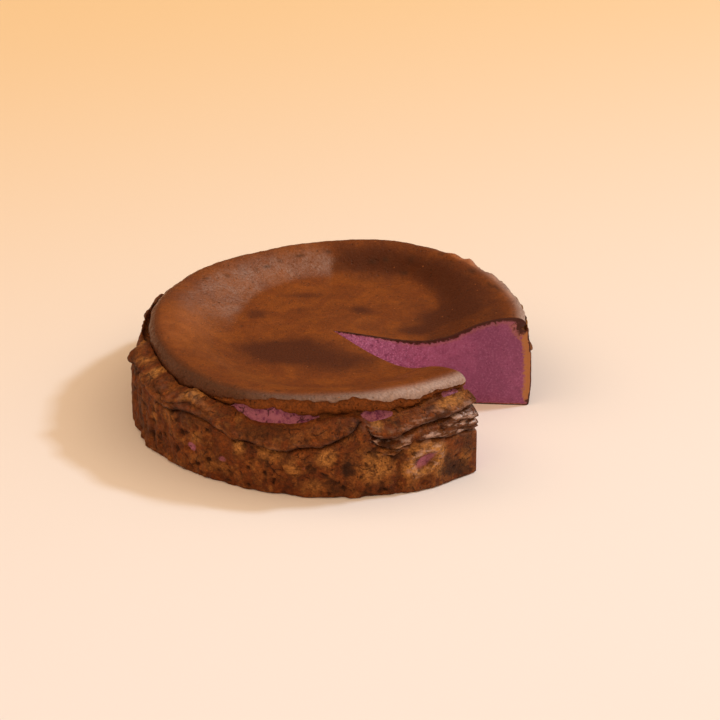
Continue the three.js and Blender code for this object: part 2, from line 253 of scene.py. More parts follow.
# Lumps and dents of the side: angle, height, half width, half height, tilt, how far out.
LUMPS = [
    (-165, 39.4, 3.8, 3, 10, 3), (-158, 38.4, 5, 1.6, -10, 1), (-150.6, 36.6, 3.4, 2.4, -50, 1.1),
    (-170.5, 33, 3, 3.6, 0, -1.4), (-154.5, 33.6, 4, 2, -30, -1.2),
    (-146.3, 37.4, 3.2, 1.6, -20, 0.9), (-159.7, 4.6, 3, 2.4, 0, 1.4),
    (-154, 2.4, 2.4, 1.4, 0, 1.2), (-149, 1.8, 2.6, 1.6, 0, 1), (-144, 3.4, 3, 2, 10, 1),
    (-137, 2.4, 3.4, 1.8, 0, 0.8), (-163, 14, 2.4, 6, 0, 0.9), (-129.4, 14.4, 3.4, 3, 0, -0.8),
    (-126.4, 38.4, 4.2, 1.5, 20, 0.7), (-131.4, 36.9, 0.8, 2, 10, -1.6),
    (-85.3, 16, 3.6, 5, 0, -1), (-77.5, 13.5, 8, 7, 0, 0.8), (-114.3, 24, 3.4, 3, 0, 0.5),
    (-91.6, 19.6, 4.4, 4.4, -20, 0.6), (-68.6, 9.4, 3, 2.2, 30, 0.9),
    (-62.4, 20.6, 4, 1.6, 25, 1), (-57.3, 15, 3.4, 1.5, -10, 0.8), (-54.3, 9, 4.6, 4.6, 0, -0.8),
    (-73.8, 24.4, 3, 1.2, 10, 0.8), (-83, 28.4, 2.2, 3.4, -20, -0.8), (-99, 19.4, 3, 4, 0, 0.5),
    (-106, 14, 5, 4, 0, 0.4), (-72, 4, 0.8, 3.4, 8, -1.5), (-86, 4, 4, 2.4, 0, -0.7),
    (150, 20, 5, 7, 0, 0.9), (120, 12, 6, 4, 20, -1), (88, 16, 5, 6, 0, 0.9),
    (66, 12, 5, 5, -20, -1), (40, 14, 6, 5, 0, 0.9), (16, 12, 4, 6, 10, -0.9),
    (104, 30, 5, 3, 0, 0.8), (30, 32, 4, 2, 10, 0.8),
]

# Upright creases pressed in by folds of the baking paper: angle, depth, lean per mm up.
CREASES = [
    (-56, 0.4, 0.1), (-73.2, 1.5, 0.06), (-87, 0.7, -0.1), (-96, 0.5, 0.1), (-103.4, 1, 0.05),
    (-111, 0.5, 0.06), (-121, 0.7, 0.15), (-128, 0.5, -0.1), (-137, 1, -0.15), (-142.5, 0.7, 0),
    (-148, 1, 0.1), (-153, 1.4, 0.1), (-158, 1.1, -0.1), (-164, 1.2, 0.15), (-173, 1, 0.1),
    (175, 0.8, 0), (168, 1.4, -0.15), (158, 0.7, 0.1), (149, 1.2, 0.1), (140, 0.6, -0.1),
    (131, 1.6, 0.1), (121, 0.7, 0), (112, 1, -0.15), (104, 0.6, 0.1), (97, 1.6, 0.1),
    (88, 0.6, -0.1), (79, 1.2, 0), (70, 0.7, 0.1), (61, 1.6, -0.1), (52, 0.6, 0),
    (44, 1, 0.15), (35, 0.6, 0), (27, 1.6, -0.1), (18, 0.7, 0), (10, 1.2, 0.1), (2, 0.6, 0),
]
CREASE_WIDTH = 2.6
CREASE_TOP = 32.0

# Radial puckers of the skin near the rim: angle, depth, width, inner and outer share.
PUCKERS = [
    (91, 1.2, 5, 0.6, 0.97), (63, 0.35, 4, 0.7, 1), (34, 0.4, 5, 0.72, 1),
    (118, 0.25, 5, 0.7, 0.95), (151, 0.35, 6, 0.72, 1), (182, 0.3, 5, 0.75, 1),
    (-128, 0.3, 6, 0.8, 1), (-101, 0.25, 6, 0.78, 1), (-66, 0.3, 5, 0.8, 1),
    (12, 0.4, 4, 0.75, 1),
]

# Patches of the side, as angle, height, half width and half height in mm, tilt, strength.
GOLDEN_AND_PAINTED_LIGHT_PATCHES = [
    (-114.6, 21, 3.4, 4.2, 0, 1), (-91, 20.5, 4.6, 5.6, -20, 0.9), (-78.5, 15, 9, 8.5, 0, 0.8),
    (-69.5, 12, 4.2, 4.4, 30, 1), (-67, 22, 7, 2.6, 10, 0.8), (-61.5, 12, 3.4, 5.5, -10, 0.6),
    (-149, 37.5, 3.2, 2, -20, 1), (-131, 37.8, 6.5, 2.4, 10, 0.7), (-127.5, 20, 3, 3, 0, 0.5),
    (-146, 17.5, 3, 3.4, 0, 0.6), (-100, 14, 4, 3.4, 0, 0.6), (-106, 20, 6, 5, 0, 0.5),
    (-73, 23, 3, 2, 20, 0.7), (-56, 38.6, 10, 1.5, 6, 0.7), (-78, 34.5, 3, 2.4, -30, 0.7),
    (-53, 10, 3.6, 5, 0, 0.5), (-158, 37, 5, 1.6, 20, 0.5), (-168, 38, 4, 2, 0, 0.7),
    # The next four, at the rear right and by the far cut, are painted light where the crust faces
    # the key.
    (45, 43, 7, 3, 0, 1), (30, 41.6, 8, 2, 0, 1), (12, 40.6, 9, 2, 0, 1), (0, 39, 4, 5, 0, 1),
    (-139, 24, 5, 5, 0, 0.35), (-122, 8, 8, 4, 0, 0.3), (-95, 6, 6, 4, 0, 0.35),
]
BURNT_PATCHES = [
    (-86, 15, 3.6, 5.6, 0, 1), (-101.5, 20, 3, 5, 0, 0.6), (-88.5, 4.5, 8, 3.6, 0, 0.7),
    (-131, 27.5, 8, 3.6, 0, 0.7), (-57, 7.5, 8, 5.4, -8, 1), (-52, 17, 4, 8, 0, 0.7),
    (-63, 26.6, 6, 1.6, -8, 0.8), (-62, 34.6, 7, 1.6, 16, 1), (-108, 31, 18, 4.4, 0, 0.65),
    (-149, 9, 5, 3.4, 20, 0.7), (-121, 14, 5, 7, 0, 0.4), (-157, 16, 5, 8, 0, 0.4),
    (-146, 35, 7, 2.6, -10, 0.5), (-160, 33, 5, 3, 0, 0.8), (-59, 12, 2.4, 5, 0, 1),
    (-162, 35.6, 3, 2, 0, 0.8),
]
CUSTARD_PATCHES = [
    (-65.4, 15.2, 7.8, 3.2, 28, 0.62), (-129.4, 14.2, 3, 2.6, 0, 0.75),
    (-119.6, 12.5, 3, 2.2, 0, 0.5), (-97, 15, 1.6, 1.4, 0, 0.3),
    (-125.6, 38.4, 1.8, 1.2, 30, 0.7), (-156, 40, 2.4, 1.2, 20, 0.6),
]
# Where custard shows in the gap below the torn skin: angle of its middle, and half its turn.
OPEN_STRIPS = [(-106.8, 14.5), (-77.4, 5), (-54.2, 3.2), (121, 9)]
EYE = (-65.6, 14.8, 9, 5.6, 28)  # ring around the bare spot: angle, height, half sizes, tilt

# Pits of the side: angle, height, half width, half height, tilt, depth.
PITS = [
    (-124, 10.5, 1.5, 1.1, 20, 1.6), (-107.6, 10.4, 1.3, 0.6, 30, 1.2),
    (-105, 6.6, 0.7, 1.9, -15, 1.3), (-99.6, 11.2, 3, 0.4, 5, 0.9), (-110.6, 17, 0.6, 1.6, 0, 1),
    (-124.6, 25, 1.3, 0.8, -20, 1.2), (-133, 19, 1.2, 1.8, 40, 1.6),
    (-134.6, 10, 1.2, 1.7, 40, 1.6), (-143, 11.6, 1.1, 1, 0, 1.3),
    (-140.4, 12.8, 1.7, 0.7, -30, 1.3), (-146, 21, 1, 0.7, 10, 1.2),
    (-147.4, 7.4, 1.6, 1.6, 0, 1.6), (-152, 7.6, 1.3, 1, 0, 1.5),
    (-153.4, 25.6, 1.4, 0.8, 10, 1.2), (-158, 30, 1.2, 1.6, 0, 1.6), (-89.8, 27, 0.9, 0.6, 0, 1),
    (-80.6, 22.6, 1, 0.6, 0, 1.1), (-75.6, 13.4, 0.8, 0.6, 0, 1), (-75.8, 11.4, 0.7, 0.5, 0, 0.8),
    (-76.2, 3.4, 0.9, 0.8, 0, 1), (-73.4, 17.6, 0.8, 1.4, -20, 1), (-74.6, 19.2, 0.8, 1, 0, 0.8),
    (-81.3, 17, 0.5, 0.7, 0, 0.8), (-77.8, 16.8, 0.5, 0.5, 0, 0.7), (-78.6, 20, 0.5, 0.4, 0, 0.7),
    (-79.8, 12, 0.5, 0.4, 0, 0.7), (-82, 9, 0.5, 0.5, 0, 0.7), (-88.6, 17.4, 0.7, 0.5, 0, 0.8),
    (-92.2, 12.6, 0.7, 0.5, 0, 0.8), (-91.2, 12, 0.6, 0.5, 0, 0.8),
    (-104.8, 12.4, 0.6, 1.2, 10, 0.9), (-102.6, 13, 0.5, 1.1, 0, 0.8),
    (-102.4, 22.2, 0.5, 0.7, 0, 0.8), (-101.2, 20.4, 0.5, 0.6, 0, 0.7),
    (-98, 24.2, 0.8, 0.5, 10, 0.9), (-113, 24, 0.9, 0.6, 0, 0.9), (-127.6, 6, 1.6, 0.8, 30, 1.2),
    (-88, 8, 0.6, 1.2, 10, 1), (-87, 5.4, 0.8, 1, 0, 1.2), (-134, 38, 0.7, 1.6, 10, 1.6),
    (-128.4, 39, 1.4, 0.6, -20, 1.2), (-138, 28, 1, 0.8, 0, 1), (-116.8, 12.8, 0.5, 0.4, 0, 0.7),
    (-118, 9, 0.5, 0.5, 0, 0.7), (-120, 20, 0.5, 0.5, 0, 0.5),
]
PIT_REACH = 4  # degrees to either side within which a pit is worked out
RANDOM_PITS = 190
LAYER_LEVELS = (-0.22, -0.04, 0.12, 0.3)  # where the noise of the papery layers steps
LAYER_STEP = 0.32  # millimetres from one papery layer to the next
CALM_MIDDLE = 20  # millimetres around the middle in which the top's relief fades out
LEAST_HEIGHT = 0.02  # of what isn't the base
PIT_SEED = 11

# Burnt clouds on the top, and paler ones as negative: x, y, half sizes, tilt, strength.
# The pale ones on the left slope and on the curls at the rear right are painted light.
TOP_CLOUDS = [
    (-20, -19, 26, 13, -12, 1.25), (10, -32, 15, 9, 20, 0.5), (-37, 22, 7, 6, 0, 0.7),
    (-55, 10, 6, 6, 0, 0.55), (13, 27, 8, 6, 0, 0.8), (-15, 43, 12, 4, 0, 0.6),
    (52, 20, 16, 12, 25, 1), (66, 14, 9, 12, 0, 0.7), (40, 8, 12, 5, -5, 0.6),
    (-15, 25, 9, 6, 10, 0.35), (38, 35, 8, 4, 0, 0.4), (-5, 12, 6, 4, 0, 0.3),
    (58, 52, 14, 10, -50, 0.6), (20, 66, 26, 8, -8, 0.5), (-8, -58, 14, 5, 0, 0.2),
    (-66, -4, 17, 34, -8, -0.55), (0, -72, 24, 6, 0, -0.25), (8, 16, 16, 8, 0, -0.2),
    (-30, 8, 14, 9, 20, -0.15), (-50, -42, 16, 10, -40, -0.25), (30, -62, 16, 5, 20, -0.15),
    (60, 62, 6, 3, -42, -2), (68, 55, 5, 3, -50, -2), (79, 40, 6, 2.4, -62, -1.8),
    (85, 22, 7, 2.4, -72, -1.2),
]

# Curled bits of torn skin on the shoulder at the rear right: x, y, half sizes, tilt, height.
SKIN_CURLS = [
    (58, 63, 4.6, 2, -42, 1.6), (66, 57, 3.4, 1.8, -50, 1.7), (77, 44, 3.6, 1.4, -60, 0.9),
    (82, 33, 4, 1.4, -68, 0.8), (86.5, 17, 3, 1.4, -78, 0.8),
]

# Small tears of the skin near the crest at the back: x, y, half length, half width, tilt.
SKIN_NICKS = [
    (-33, 66, 2.6, 0.9, 25), (-27, 71, 2, 0.8, 20), (-38, 62, 1.6, 0.9, 40),
    (-17, 75.5, 2.8, 0.9, 8), (-3, 79, 1.6, 0.9, 0), (19, 73, 2.8, 1, -6),
    (25, 72, 1.8, 0.9, -10), (34, 65, 2.2, 0.9, -20), (38, 69, 2, 0.9, -24),
    (53, 66, 2.4, 1, -38), (57, 58, 1.6, 0.8, -40), (-52, 52, 1.6, 0.9, 50),
    (-62, 46, 1.4, 0.9, 50), (-24, -83, 1.4, 0.8, 10), (67, 48, 3.4, 1.1, -54),
    (77, 30, 7, 1.1, -54),
]

# How dark the inner slope of the rim is made: angle and strength. The skin baked darker
# there, and from the crease at 90 degrees round to the far cut, where the slope faces away
# from the key, the darkening is also painted shade; just before the crease it is painted a
# little paler, as sheen.
SLOPE_BROWNING_AND_PAINTED_SHADE = [
    (-4, 0.55), (-49, 0.15), (-90, 0.05), (-150, 0.05), (180, 0.05), (160, 0.1), (140, 0.2),
    (120, 0.1), (106, -0.1), (97, -0.1), (88, 0.7), (75, 0.8), (40, 0.8), (15, 0.6),
]

# Where the slope took a polish and a painted sheen, and where the rim's outer shoulder is dark.
SLOPE_POLISH = [
    (-4, 0.1), (-49, 0.5), (-90, 0.4), (-150, 0.4), (180, 0.6), (165, 0.9), (140, 1), (110, 1),
    (95, 1), (87, 0.2), (40, 0.1),
]
RIM_SHADE = [
    (-4, 0.8), (-49, 1), (-150, 1), (175, 0.6), (160, 0.35), (90, 0.35), (40, 0.5), (20, 0.8),
]

# How much painted sheen pales the outer shoulder of the rim: angle and share.
RIM_PAINTED_SHEEN = [
    (-4, 1), (-49, 1), (-64, 1), (-76, 0.75), (-90, 0.4), (-105, 0.2), (-120, 0), (150, 0),
    (75, 0), (56, 0.3), (44, 0.9), (20, 1),
]

# ---- Numbers of rows and columns ---------------------------------------------------------

TOP_ROWS = 50
SHOULDER_ROWS = 12
BAND_ROWS = 7
NECK_ROWS = 8
LIP_ROWS = 5
SIDE_ROWS = 86
FOOT_ROWS = 4
BASE_RINGS = (0.8, 0.55, 0.28)  # shares of the way out to the foot
AXIS_POINTS = 14

# ---- Stage -------------------------------------------------------------------------------

PAPER_WIDTH = 8000.0
CAMERA_TARGET = (12.7, -9.0, 25.0)
LENS = 149.03  # focal length on a sensor 36 mm wide
KEY_DIRECTION = (0.718, 0.192, 0.669)  # from the cake towards the key light
KEY_DISTANCE = 4.5  # in metres, as is its size
KEY_SIZE = 0.5
KEY_COLOUR = (0.55, 0.78, 1.0)

# ---- Colours -----------------------------------------------------------------------------


def linear(hex_colour):
    """The linear red, green and blue of an sRGB hex colour, with full alpha."""
    channels = [int(hex_colour[i : i + 2], 16) / 255 for i in (1, 3, 5)]
    curve = [c / 12.92 if c <= 0.04045 else ((c + 0.055) / 1.055) ** 2.4 for c in channels]
    return (*curve, 1.0)


# ---- Curves and fields -------------------------------------------------------------------


def cubic_through(places, values, at):
    """A cubic in each span between places, passing through the values; the slope at each
    place is the slope of the line between its two neighbours, and the two ends are level."""
    slopes = np.zeros_like(values)
    slopes[1:-1] = (values[2:] - values[:-2]) / (places[2:] - places[:-2])
    at = np.clip(at, places[0], places[-1])
    i = np.clip(np.searchsorted(places, at, side="right") - 1, 0, len(places) - 2)
    span = places[i + 1] - places[i]
    t = (at - places[i]) / span
    return (
        (2 * t**3 - 3 * t**2 + 1) * values[i]
        + (t**3 - 2 * t**2 + t) * span * slopes[i]
        + (3 * t**2 - 2 * t**3) * values[i + 1]
        + (t**3 - t**2) * span * slopes[i + 1]
    )


def around(stations, turn):
    """The smooth curve through angle and size stations, closed on itself after a full turn."""
    pairs = sorted((angle % 360.0, size) for angle, size in stations)
    angles, sizes = np.array(pairs, dtype=float).T
    angles = np.concatenate([angles[-2:] - 360, angles, angles[:2] + 360])
    sizes = np.concatenate([sizes[-2:], sizes, sizes[:2]])
    return cubic_through(angles, sizes, np.mod(turn, 360.0))


def turn_from(angle, turn):
    """The shortest way round from an angle to each of the turns, in degrees."""
    return np.mod(turn - angle + 180.0, 360.0) - 180.0


def smooth_step(low, high, value):
    """Rises from 0 at low to 1 at high along 3t^2 - 2t^3."""
    t = np.clip((value - low) / (high - low), 0, 1)
    return t * t * (3 - 2 * t)


def bell(value, middle, width):
    """1 at the middle, falling off to both sides along exp(-t^2)."""
    return np.exp(-(((value - middle) / width) ** 2))


def lattice_noise(points, size, seed):
    """A smooth random field from -1 to 1: a random number at each corner of a cubic lattice
    with cells of this size, blended between the eight corners by a smooth step. The number
    comes from the corner's place and the seed, multiplied by large primes and folded."""
    scaled = points / size
    cell = np.floor(scaled).astype(np.int64)
    t = scaled - cell
    t = t * t * (3 - 2 * t)
    total = np.zeros(points.shape[:-1])
    for corner in itertools.product((0, 1), repeat=3):
        at = cell + np.array(corner)
        mixed = (at * np.array([73856093, 19349663, 83492791])).sum(-1) ^ (seed * 2654435761)
        mixed = ((mixed ^ (mixed >> 15)) * 2246822519) & 0xFFFFFFFF
        mixed = ((mixed ^ (mixed >> 13)) * 3266489917) & 0xFFFFFFFF
        value = (mixed ^ (mixed >> 16)) / 0xFFFFFFFF * 2 - 1
        total += value * np.prod(np.where(corner, t, 1 - t), axis=-1)
    return total


def layered_noise(points, size, seed, layers=3):
    """Noise fields added up, each with half the cell size and half the strength of the last."""
    field = sum(
        lattice_noise(points, size / 2**layer, seed + layer) / 2**layer for layer in range(layers)
    )
    return field / (2 - 2 ** (1 - layers))


def patch(across, up, half_width, half_height, tilt):
    """Distance from a patch's middle as a share of its half sizes, along its tilted axes."""
    turn = math.radians(tilt)
    along = (across * math.cos(turn) + up * math.sin(turn)) / half_width
    aside = (up * math.cos(turn) - across * math.sin(turn)) / half_height
    return np.hypot(along, aside)


# ---- Shape of the crust ------------------------------------------------------------------


def top_height(turn, share):
    """Height of the top at a share of the way from the middle to the crest: a floor with
    swells and dents, plus the climb of the rim, less the puckers that run in from it."""
    crest_radius = around(SKIN_RADIUS, turn) - CREST_INSET
    reach = share * crest_radius
    x, y = reach * np.cos(np.radians(turn)), reach * np.sin(np.radians(turn))
    floor = FLOOR_HEIGHT + sum(
        swell * np.exp(-((x - at_x) ** 2 + (y - at_y) ** 2) / (2 * spread**2))
        for at_x, at_y, spread, swell in FLOOR_SWELLS
    )
    shares, rises = np.array(RIM_SLOPE, dtype=float).T
    start = around(CLIMB_START, turn)
    climb = shares[1] + (share - start) / (1 - start) * (1 - shares[1])
    height = floor + (around(CREST_HEIGHT, turn) - floor) * cubic_through(shares, rises, climb)
    for angle, depth, width, inner, outer in PUCKERS:
        aside = np.radians(turn_from(angle, turn)) * reach
        along = smooth_step(inner - 0.12, inner + 0.12, share) * (
            1 - smooth_step(outer - 0.05, outer + 0.1, share)
        )
        height = height - depth * along * np.exp(-np.abs(aside) / width)
    return height


def lean(z):
    """How far the side leans out at a height: 1 mm up to the belly's height, and from there
    in along a parabola that loses 2.5 mm in the next 24."""
    return 1.0 - 2.5 * np.clip((z - BELLY_HEIGHT) / 24.0, 0, 2) ** 2


def fold_height(line, turn):
    """Height of a fold's line at each turn, wavering by half a millimetre, and how much of the
    fold is there: it comes up smoothly from each end of the line."""
    start = line[0][0]
    places = np.array([turn_from(start, angle) for angle, _ in line])
    heights = np.array([height for _, height in line], dtype=float)
    way = np.mod(turn - start + RUN_UP, 360.0) - RUN_UP
    ends = smooth_step(-FOLD_FADE * 0.5, FOLD_FADE * 0.5, way) * (
        1 - smooth_step(places[-1] - FOLD_FADE * 0.5, places[-1] + FOLD_FADE * 0.5, way)
    )
    runs_to_cut = (line[-1][0] == CUT_NEAR_FACE) & (np.abs(way - places[-1]) < BY_THE_CUT)
    ends = np.where(runs_to_cut, 1.0, ends)
    waver = 0.5 * lattice_noise(rim_points(turn), 7.0, 13) + 0.3 * lattice_noise(
        rim_points(turn), 2.6, 14
    )
    return cubic_through(places, heights, way) + waver, ends


def gathered_rows(turn, z):
    """Rows of the side drawn towards each fold's line, so that its hang and pinch are fine."""
    for fold in FOLDS:
        height, ends = fold_height(fold["line"], turn)
        off = z - height
        pull = ROW_PULL * min(1.0, 0.45 + fold["depth"] / 4)
        z = z - pull * ends * off * bell(off, 0, ROW_REACH)
    return z


def fold_relief(turn, z):
    """How far the folds push the side out and down, and how wet they make it. Along a fold's
    line the crust is pinched in by a bell; above the line it swells in half a sine wave and
    its lower edge hangs."""
    out, down, wet, crack = np.zeros((4, *z.shape))
    for fold in FOLDS:
        height, ends = fold_height(fold["line"], turn)
        above = z - height
        pinch = ends * np.exp(-np.abs((above + 0.25) / fold["width"]) ** 1.8)
        share = np.clip(above / fold["rise"], 0, 1)
        swell = ends * np.sin(np.pi * share**0.62) ** 0.8
        edge = ends * bell(above, 1.1, 0.9) * (above > -0.4)
        out += fold["swell"] * swell - fold["depth"] * pinch
        down += fold["hang"] * edge
        wet = np.maximum(wet, fold["wet"] * ends * bell(above, 1.4, 2.6))
        crack = np.maximum(crack, min(1.0, fold["depth"] / 2) * pinch)
    return out, down, wet, crack


def crease_relief(turn, z, radius):
    """Depth of the paper's upright creases: each falls off sharply to both sides."""
    fade = 1 - smooth_step(CREASE_TOP * 0.5, CREASE_TOP, z)
    total = np.zeros_like(z)
    for angle, depth, leaning in CREASES:
        arc = np.radians(turn_from(angle + leaning * z, turn)) * radius
        total += depth * np.exp(-np.abs(arc) / CREASE_WIDTH)
    return fade * total


def rim_points(turn):
    """Points on a circle about as wide as the rim, in which the noise around it is read."""
    angle = np.radians(turn)
    return np.stack([np.cos(angle), np.sin(angle), 0 * angle], -1) * RIM_CIRCLE


def off_the_cuts(turn):
    """0 at both cut faces, rising to 1 two and a half degrees away from them, so that the
    outline of a cut face doesn't cross itself."""
    way = turn - CUT_FAR_FACE
    return smooth_step(0.2, 2.7, np.minimum(way, CRUST_TURN - way))


def crust_outline(turn):
    """Radius and height of every row at every column, before the fine relief, as two arrays
    of columns by rows, and the number of the first row of each stretch."""
    column = turn[:, None]
    crest_radius = around(SKIN_RADIUS, column) - CREST_INSET
    crest_height = around(CREST_HEIGHT, column)
    ring = rim_points(turn)
    ragged = (0.7 * lattice_noise(ring, 4.5, 3) + 0.8 * lattice_noise(ring, 1.9, 4))[:, None]
    ragged_too = (lattice_noise(ring, 5.5, 5) + 0.7 * lattice_noise(ring, 2.2, 6))[:, None]
    wavy = layered_noise(ring, 11.0, 9, 3)[:, None]
    drop = around(SKIN_DROP, column) + ragged
    edge_radius = crest_radius + CREST_INSET + 0.5 * wavy + 0.3 * ragged_too
    edge_height = crest_height - drop

    radii, heights, starts = [], [], {}

    def stretch(name, radius, height):
        starts[name] = sum(part.shape[1] for part in radii)
        radii.append(radius)
        heights.append(height + 0 * radius)

    share = ((np.arange(1, TOP_ROWS + 1) / TOP_ROWS) ** 0.85)[None, :]
    stretch("top", share * crest_radius, top_height(column, share))

    # Over the shoulder of the rim: a quarter of an ellipse, from the crest to the torn edge.
    arc = (np.arange(1, SHOULDER_ROWS + 1) / SHOULDER_ROWS * np.pi / 2)[None, :]
    crest_now = top_height(column, np.ones((1, 1)))
    stretch(
        "shoulder",
        crest_radius + (edge_radius - crest_radius) * np.sin(arc),
        edge_height + (crest_now - edge_height) * np.cos(arc),
    )

    # Round the torn edge, in under the skin, and down the brown band below it.
    band = np.maximum(around(BAND_HEIGHT, column) + 0.8 * wavy, 0.3)
    band_radius = edge_radius - 1.0
    down = np.linspace(0, 1, BAND_ROWS)[None, :]
    curl = np.array([[0.1, 0.6]])
    stretch("curl", edge_radius - curl, edge_height - SKIN_EDGE * np.array([[0.5, 1.0]]))
    band_top = edge_height - SKIN_EDGE * 0.8
    stretch(
        "band",
        band_radius + 0.6 * np.sin(np.pi * down**0.8),
        band_top - band * down,
    )

    # The custard neck, from under the band down to the groove behind the lip.
    lip = around(LIP_HEIGHT, column) + 0.45 * ragged_too
    neck_top = band_top - band - 0.3
    side_at_lip = around(WALL_RADIUS, column) + lean(lip) - around(HEAD_TUCK, column)
    inner_lip = edge_radius + around(LIP_OFFSET, column)
    # Where the lip stands in under the skin it stays below it.
    clearance = np.maximum(inner_lip - edge_radius + 0.3, 0)
    lip = np.minimum(lip, neck_top - 0.4 + 8 * clearance)
    groove = np.minimum(neck_top - 0.5, lip) - around(GROOVE_DEPTH, column)
    neck_radius = edge_radius - around(NECK_DEPTH, column)
    down = np.linspace(0, 1, NECK_ROWS)[None, :]
    stretch(
        "neck",
        neck_radius + (inner_lip - 0.5 - neck_radius) * down**2.2,
        neck_top + (groove - neck_top) * down,
    )

    # Up the inner face of the lip and over its edge.
    up = (np.arange(1, LIP_ROWS + 1) / LIP_ROWS)[None, :]
    stretch(
        "lip",
        inner_lip + LIP_THICKNESS * 0.5 * up**3,
        groove + (lip - groove) * np.sin(up * np.pi / 2),
    )

    # Down the outside.
    down = (np.arange(1, SIDE_ROWS + 1) / SIDE_ROWS)[None, :]
    even = lip - 0.2 + (FOOT_ROUND - lip + 0.2) * down
    z = gathered_rows(column, even)
    z = np.minimum(z, lip - 0.1)
    z = np.maximum.accumulate(z[:, ::-1], axis=1)[:, ::-1]
    out, drooped, _, _ = fold_relief(column, z)
    wall = around(WALL_RADIUS, column) + lean(z)
    round_in = np.maximum(side_at_lip - inner_lip - 0.5 * LIP_THICKNESS - 0.4, 0.2)
    rounding = round_in * (1 - np.clip((lip - z) / (2.2 + 0.75 * round_in), 0, 1)) ** 2
    foot = around(FOOT_TUCK, column) * np.clip(1 - z / 20, 0, 1) ** 3
    foot = foot + around(HEAD_TUCK, column) * smooth_step(21, 37, z)
    stretch(
        "side",
        wall + out - rounding - foot - crease_relief(column, z, wall),
        z - drooped * off_the_cuts(column),
    )

    # Round the foot and in under the base.
    arc = (np.arange(1, FOOT_ROWS + 1) / FOOT_ROWS * np.pi / 2)[None, :]
    foot_radius, foot_height = radii[-1][:, -1:], heights[-1][:, -1:]
    stretch(
        "foot",
        foot_radius - FOOT_ROUND * (1 - np.cos(arc)),
        foot_height * (1 - np.sin(arc)),
    )
    base_edge = radii[-1][:, -1:]
    stretch("base", base_edge * np.array([BASE_RINGS]), np.zeros((1, 1)))
    return np.concatenate(radii, axis=1), np.concatenate(heights, axis=1), starts


def place(turn, radius, z):
    """Points of the cake from their turn, radius and height."""
    angle = np.radians(turn)[:, None]
    return np.stack([radius * np.cos(angle), radius * np.sin(angle), z + 0 * radius], -1)


def reach_from(column, z, radius, angle, height, half_width, half_height, tilt):
    """Distance from the middle of a spot of the side, as a share of the spot's half sizes."""
    across = np.radians(turn_from(angle, column)) * radius
    return patch(across, z - height, half_width, half_height, tilt)


def side_pits(column, z, radius):
    """Depth of the pits: each is a bowl with steep sides, the listed ones first and then
    random small ones, fewer towards the top."""
    rng = np.random.default_rng(PIT_SEED)
    count = RANDOM_PITS
    angles = rng.uniform(CUT_FAR_FACE + 1, CUT_FAR_FACE + CRUST_TURN - 1, count)
    heights = 2 + 26 * rng.random(count) ** 1.3
    sizes = rng.uniform(0.45, 1.1, count)
    longer = rng.uniform(0.6, 1.9, count)
    tilts = rng.uniform(-60, 60, count)
    random_pits = zip(angles, heights, sizes * longer, sizes, tilts, sizes * 0.9)
    total = np.zeros_like(z)
    uneven = 1 + 0.45 * lattice_noise(place(column[:, 0], radius, z), 1.3, 15)
    for *spot, depth in [*PITS, *random_pits]:
        near = np.flatnonzero(np.abs(turn_from(spot[0], column[:, 0])) < PIT_REACH)
        if len(near):
            part = slice(near[0], near[-1] + 1)
            reach = reach_from(column[part], z[part], radius[part], *spot) * uneven[part]
            total[part] = np.maximum(total[part], depth * np.exp(-(reach**3)))
    return total


def patches(column, z, radius, listed, ragged=0.35):
    """Strongest of the listed patches at each point: full inside, fading over a ragged rim."""
    total = np.zeros_like(z)
    uneven = 1 + ragged * layered_noise(place(column[:, 0], radius, z), 4.0, 17, 3)
    for *spot, strength in listed:
        reach = reach_from(column, z, radius, *spot) * uneven
        total = np.maximum(total, strength * (1 - smooth_step(0.35, 1.35, reach)))
    return total


def peeled_layers(points):
    """Height of the crust's papery layers: a random field cut into steps, so that each layer
    ends in a ragged edge."""
    field = layered_noise(points * np.array([1, 1, 0.75]), 10.0, 91, 4)
    steps = sum(smooth_step(level - 0.025, level + 0.025, field) for level in LAYER_LEVELS)
    return steps - 0.5 * len(LAYER_LEVELS)


def surface_fields(points, column, radius, z, on_side):
    """What the relief and the masks share: fields of noise, the papery layers, the listed
    lumps, the pits, and the distance from the middle of the bare spot."""
    return SimpleNamespace(
        lumps=layered_noise(points, 9.0, 31, 2),
        rough=layered_noise(points, 3.2, 41, 3),
        grain=layered_noise(points, 1.5, 51, 2),
        streaks=layered_noise(points * np.array([1, 1, 0.3]), 2.6, 55, 2),
        layers=peeled_layers(points),
        lump=sum(rise * bell(reach_from(column, z, radius, *spot), 0, 1) for *spot, rise in LUMPS),
        pits=side_pits(column, z, radius) * on_side,
        eye=reach_from(column, z, radius, *EYE),
    )


def side_relief(fields, column, z, lip_top):
    """How far the side stands out, in millimetres. It is smoother by the near cut and in the
    bare spot, the lip keeps its thickness, and the cuts nearly keep their outline."""
    angle = turn_from(0, column)
    smooth_zone = smooth_step(-63, -58, angle) * (angle < -40)
    smooth_zone = np.maximum(smooth_zone, 1 - smooth_step(0.8, 1.25, fields.eye))
    steady = 0.25 + 0.75 * smooth_step(0, 2.8, lip_top - z)
    way = column - CUT_FAR_FACE
    steady = steady * (0.3 + 0.7 * smooth_step(0, 9, np.minimum(way, 1.6 * (CRUST_TURN - way))))
    relief = (
        0.4 * fields.lumps
        + fields.lump
        + LAYER_STEP * fields.layers * (1 - 0.8 * smooth_zone)
        + 0.4 * fields.streaks * (1 - 0.7 * smooth_zone)
        + 0.42 * fields.rough * (1 - 0.6 * smooth_zone)
        + 0.2 * fields.grain * (1 - 0.7 * smooth_zone)
        - fields.pits
        + 1.2 * bell(fields.eye, 0.85, 0.3)
        - 0.9 * bell(fields.eye, 0, 0.6)
    )
    return relief * steady


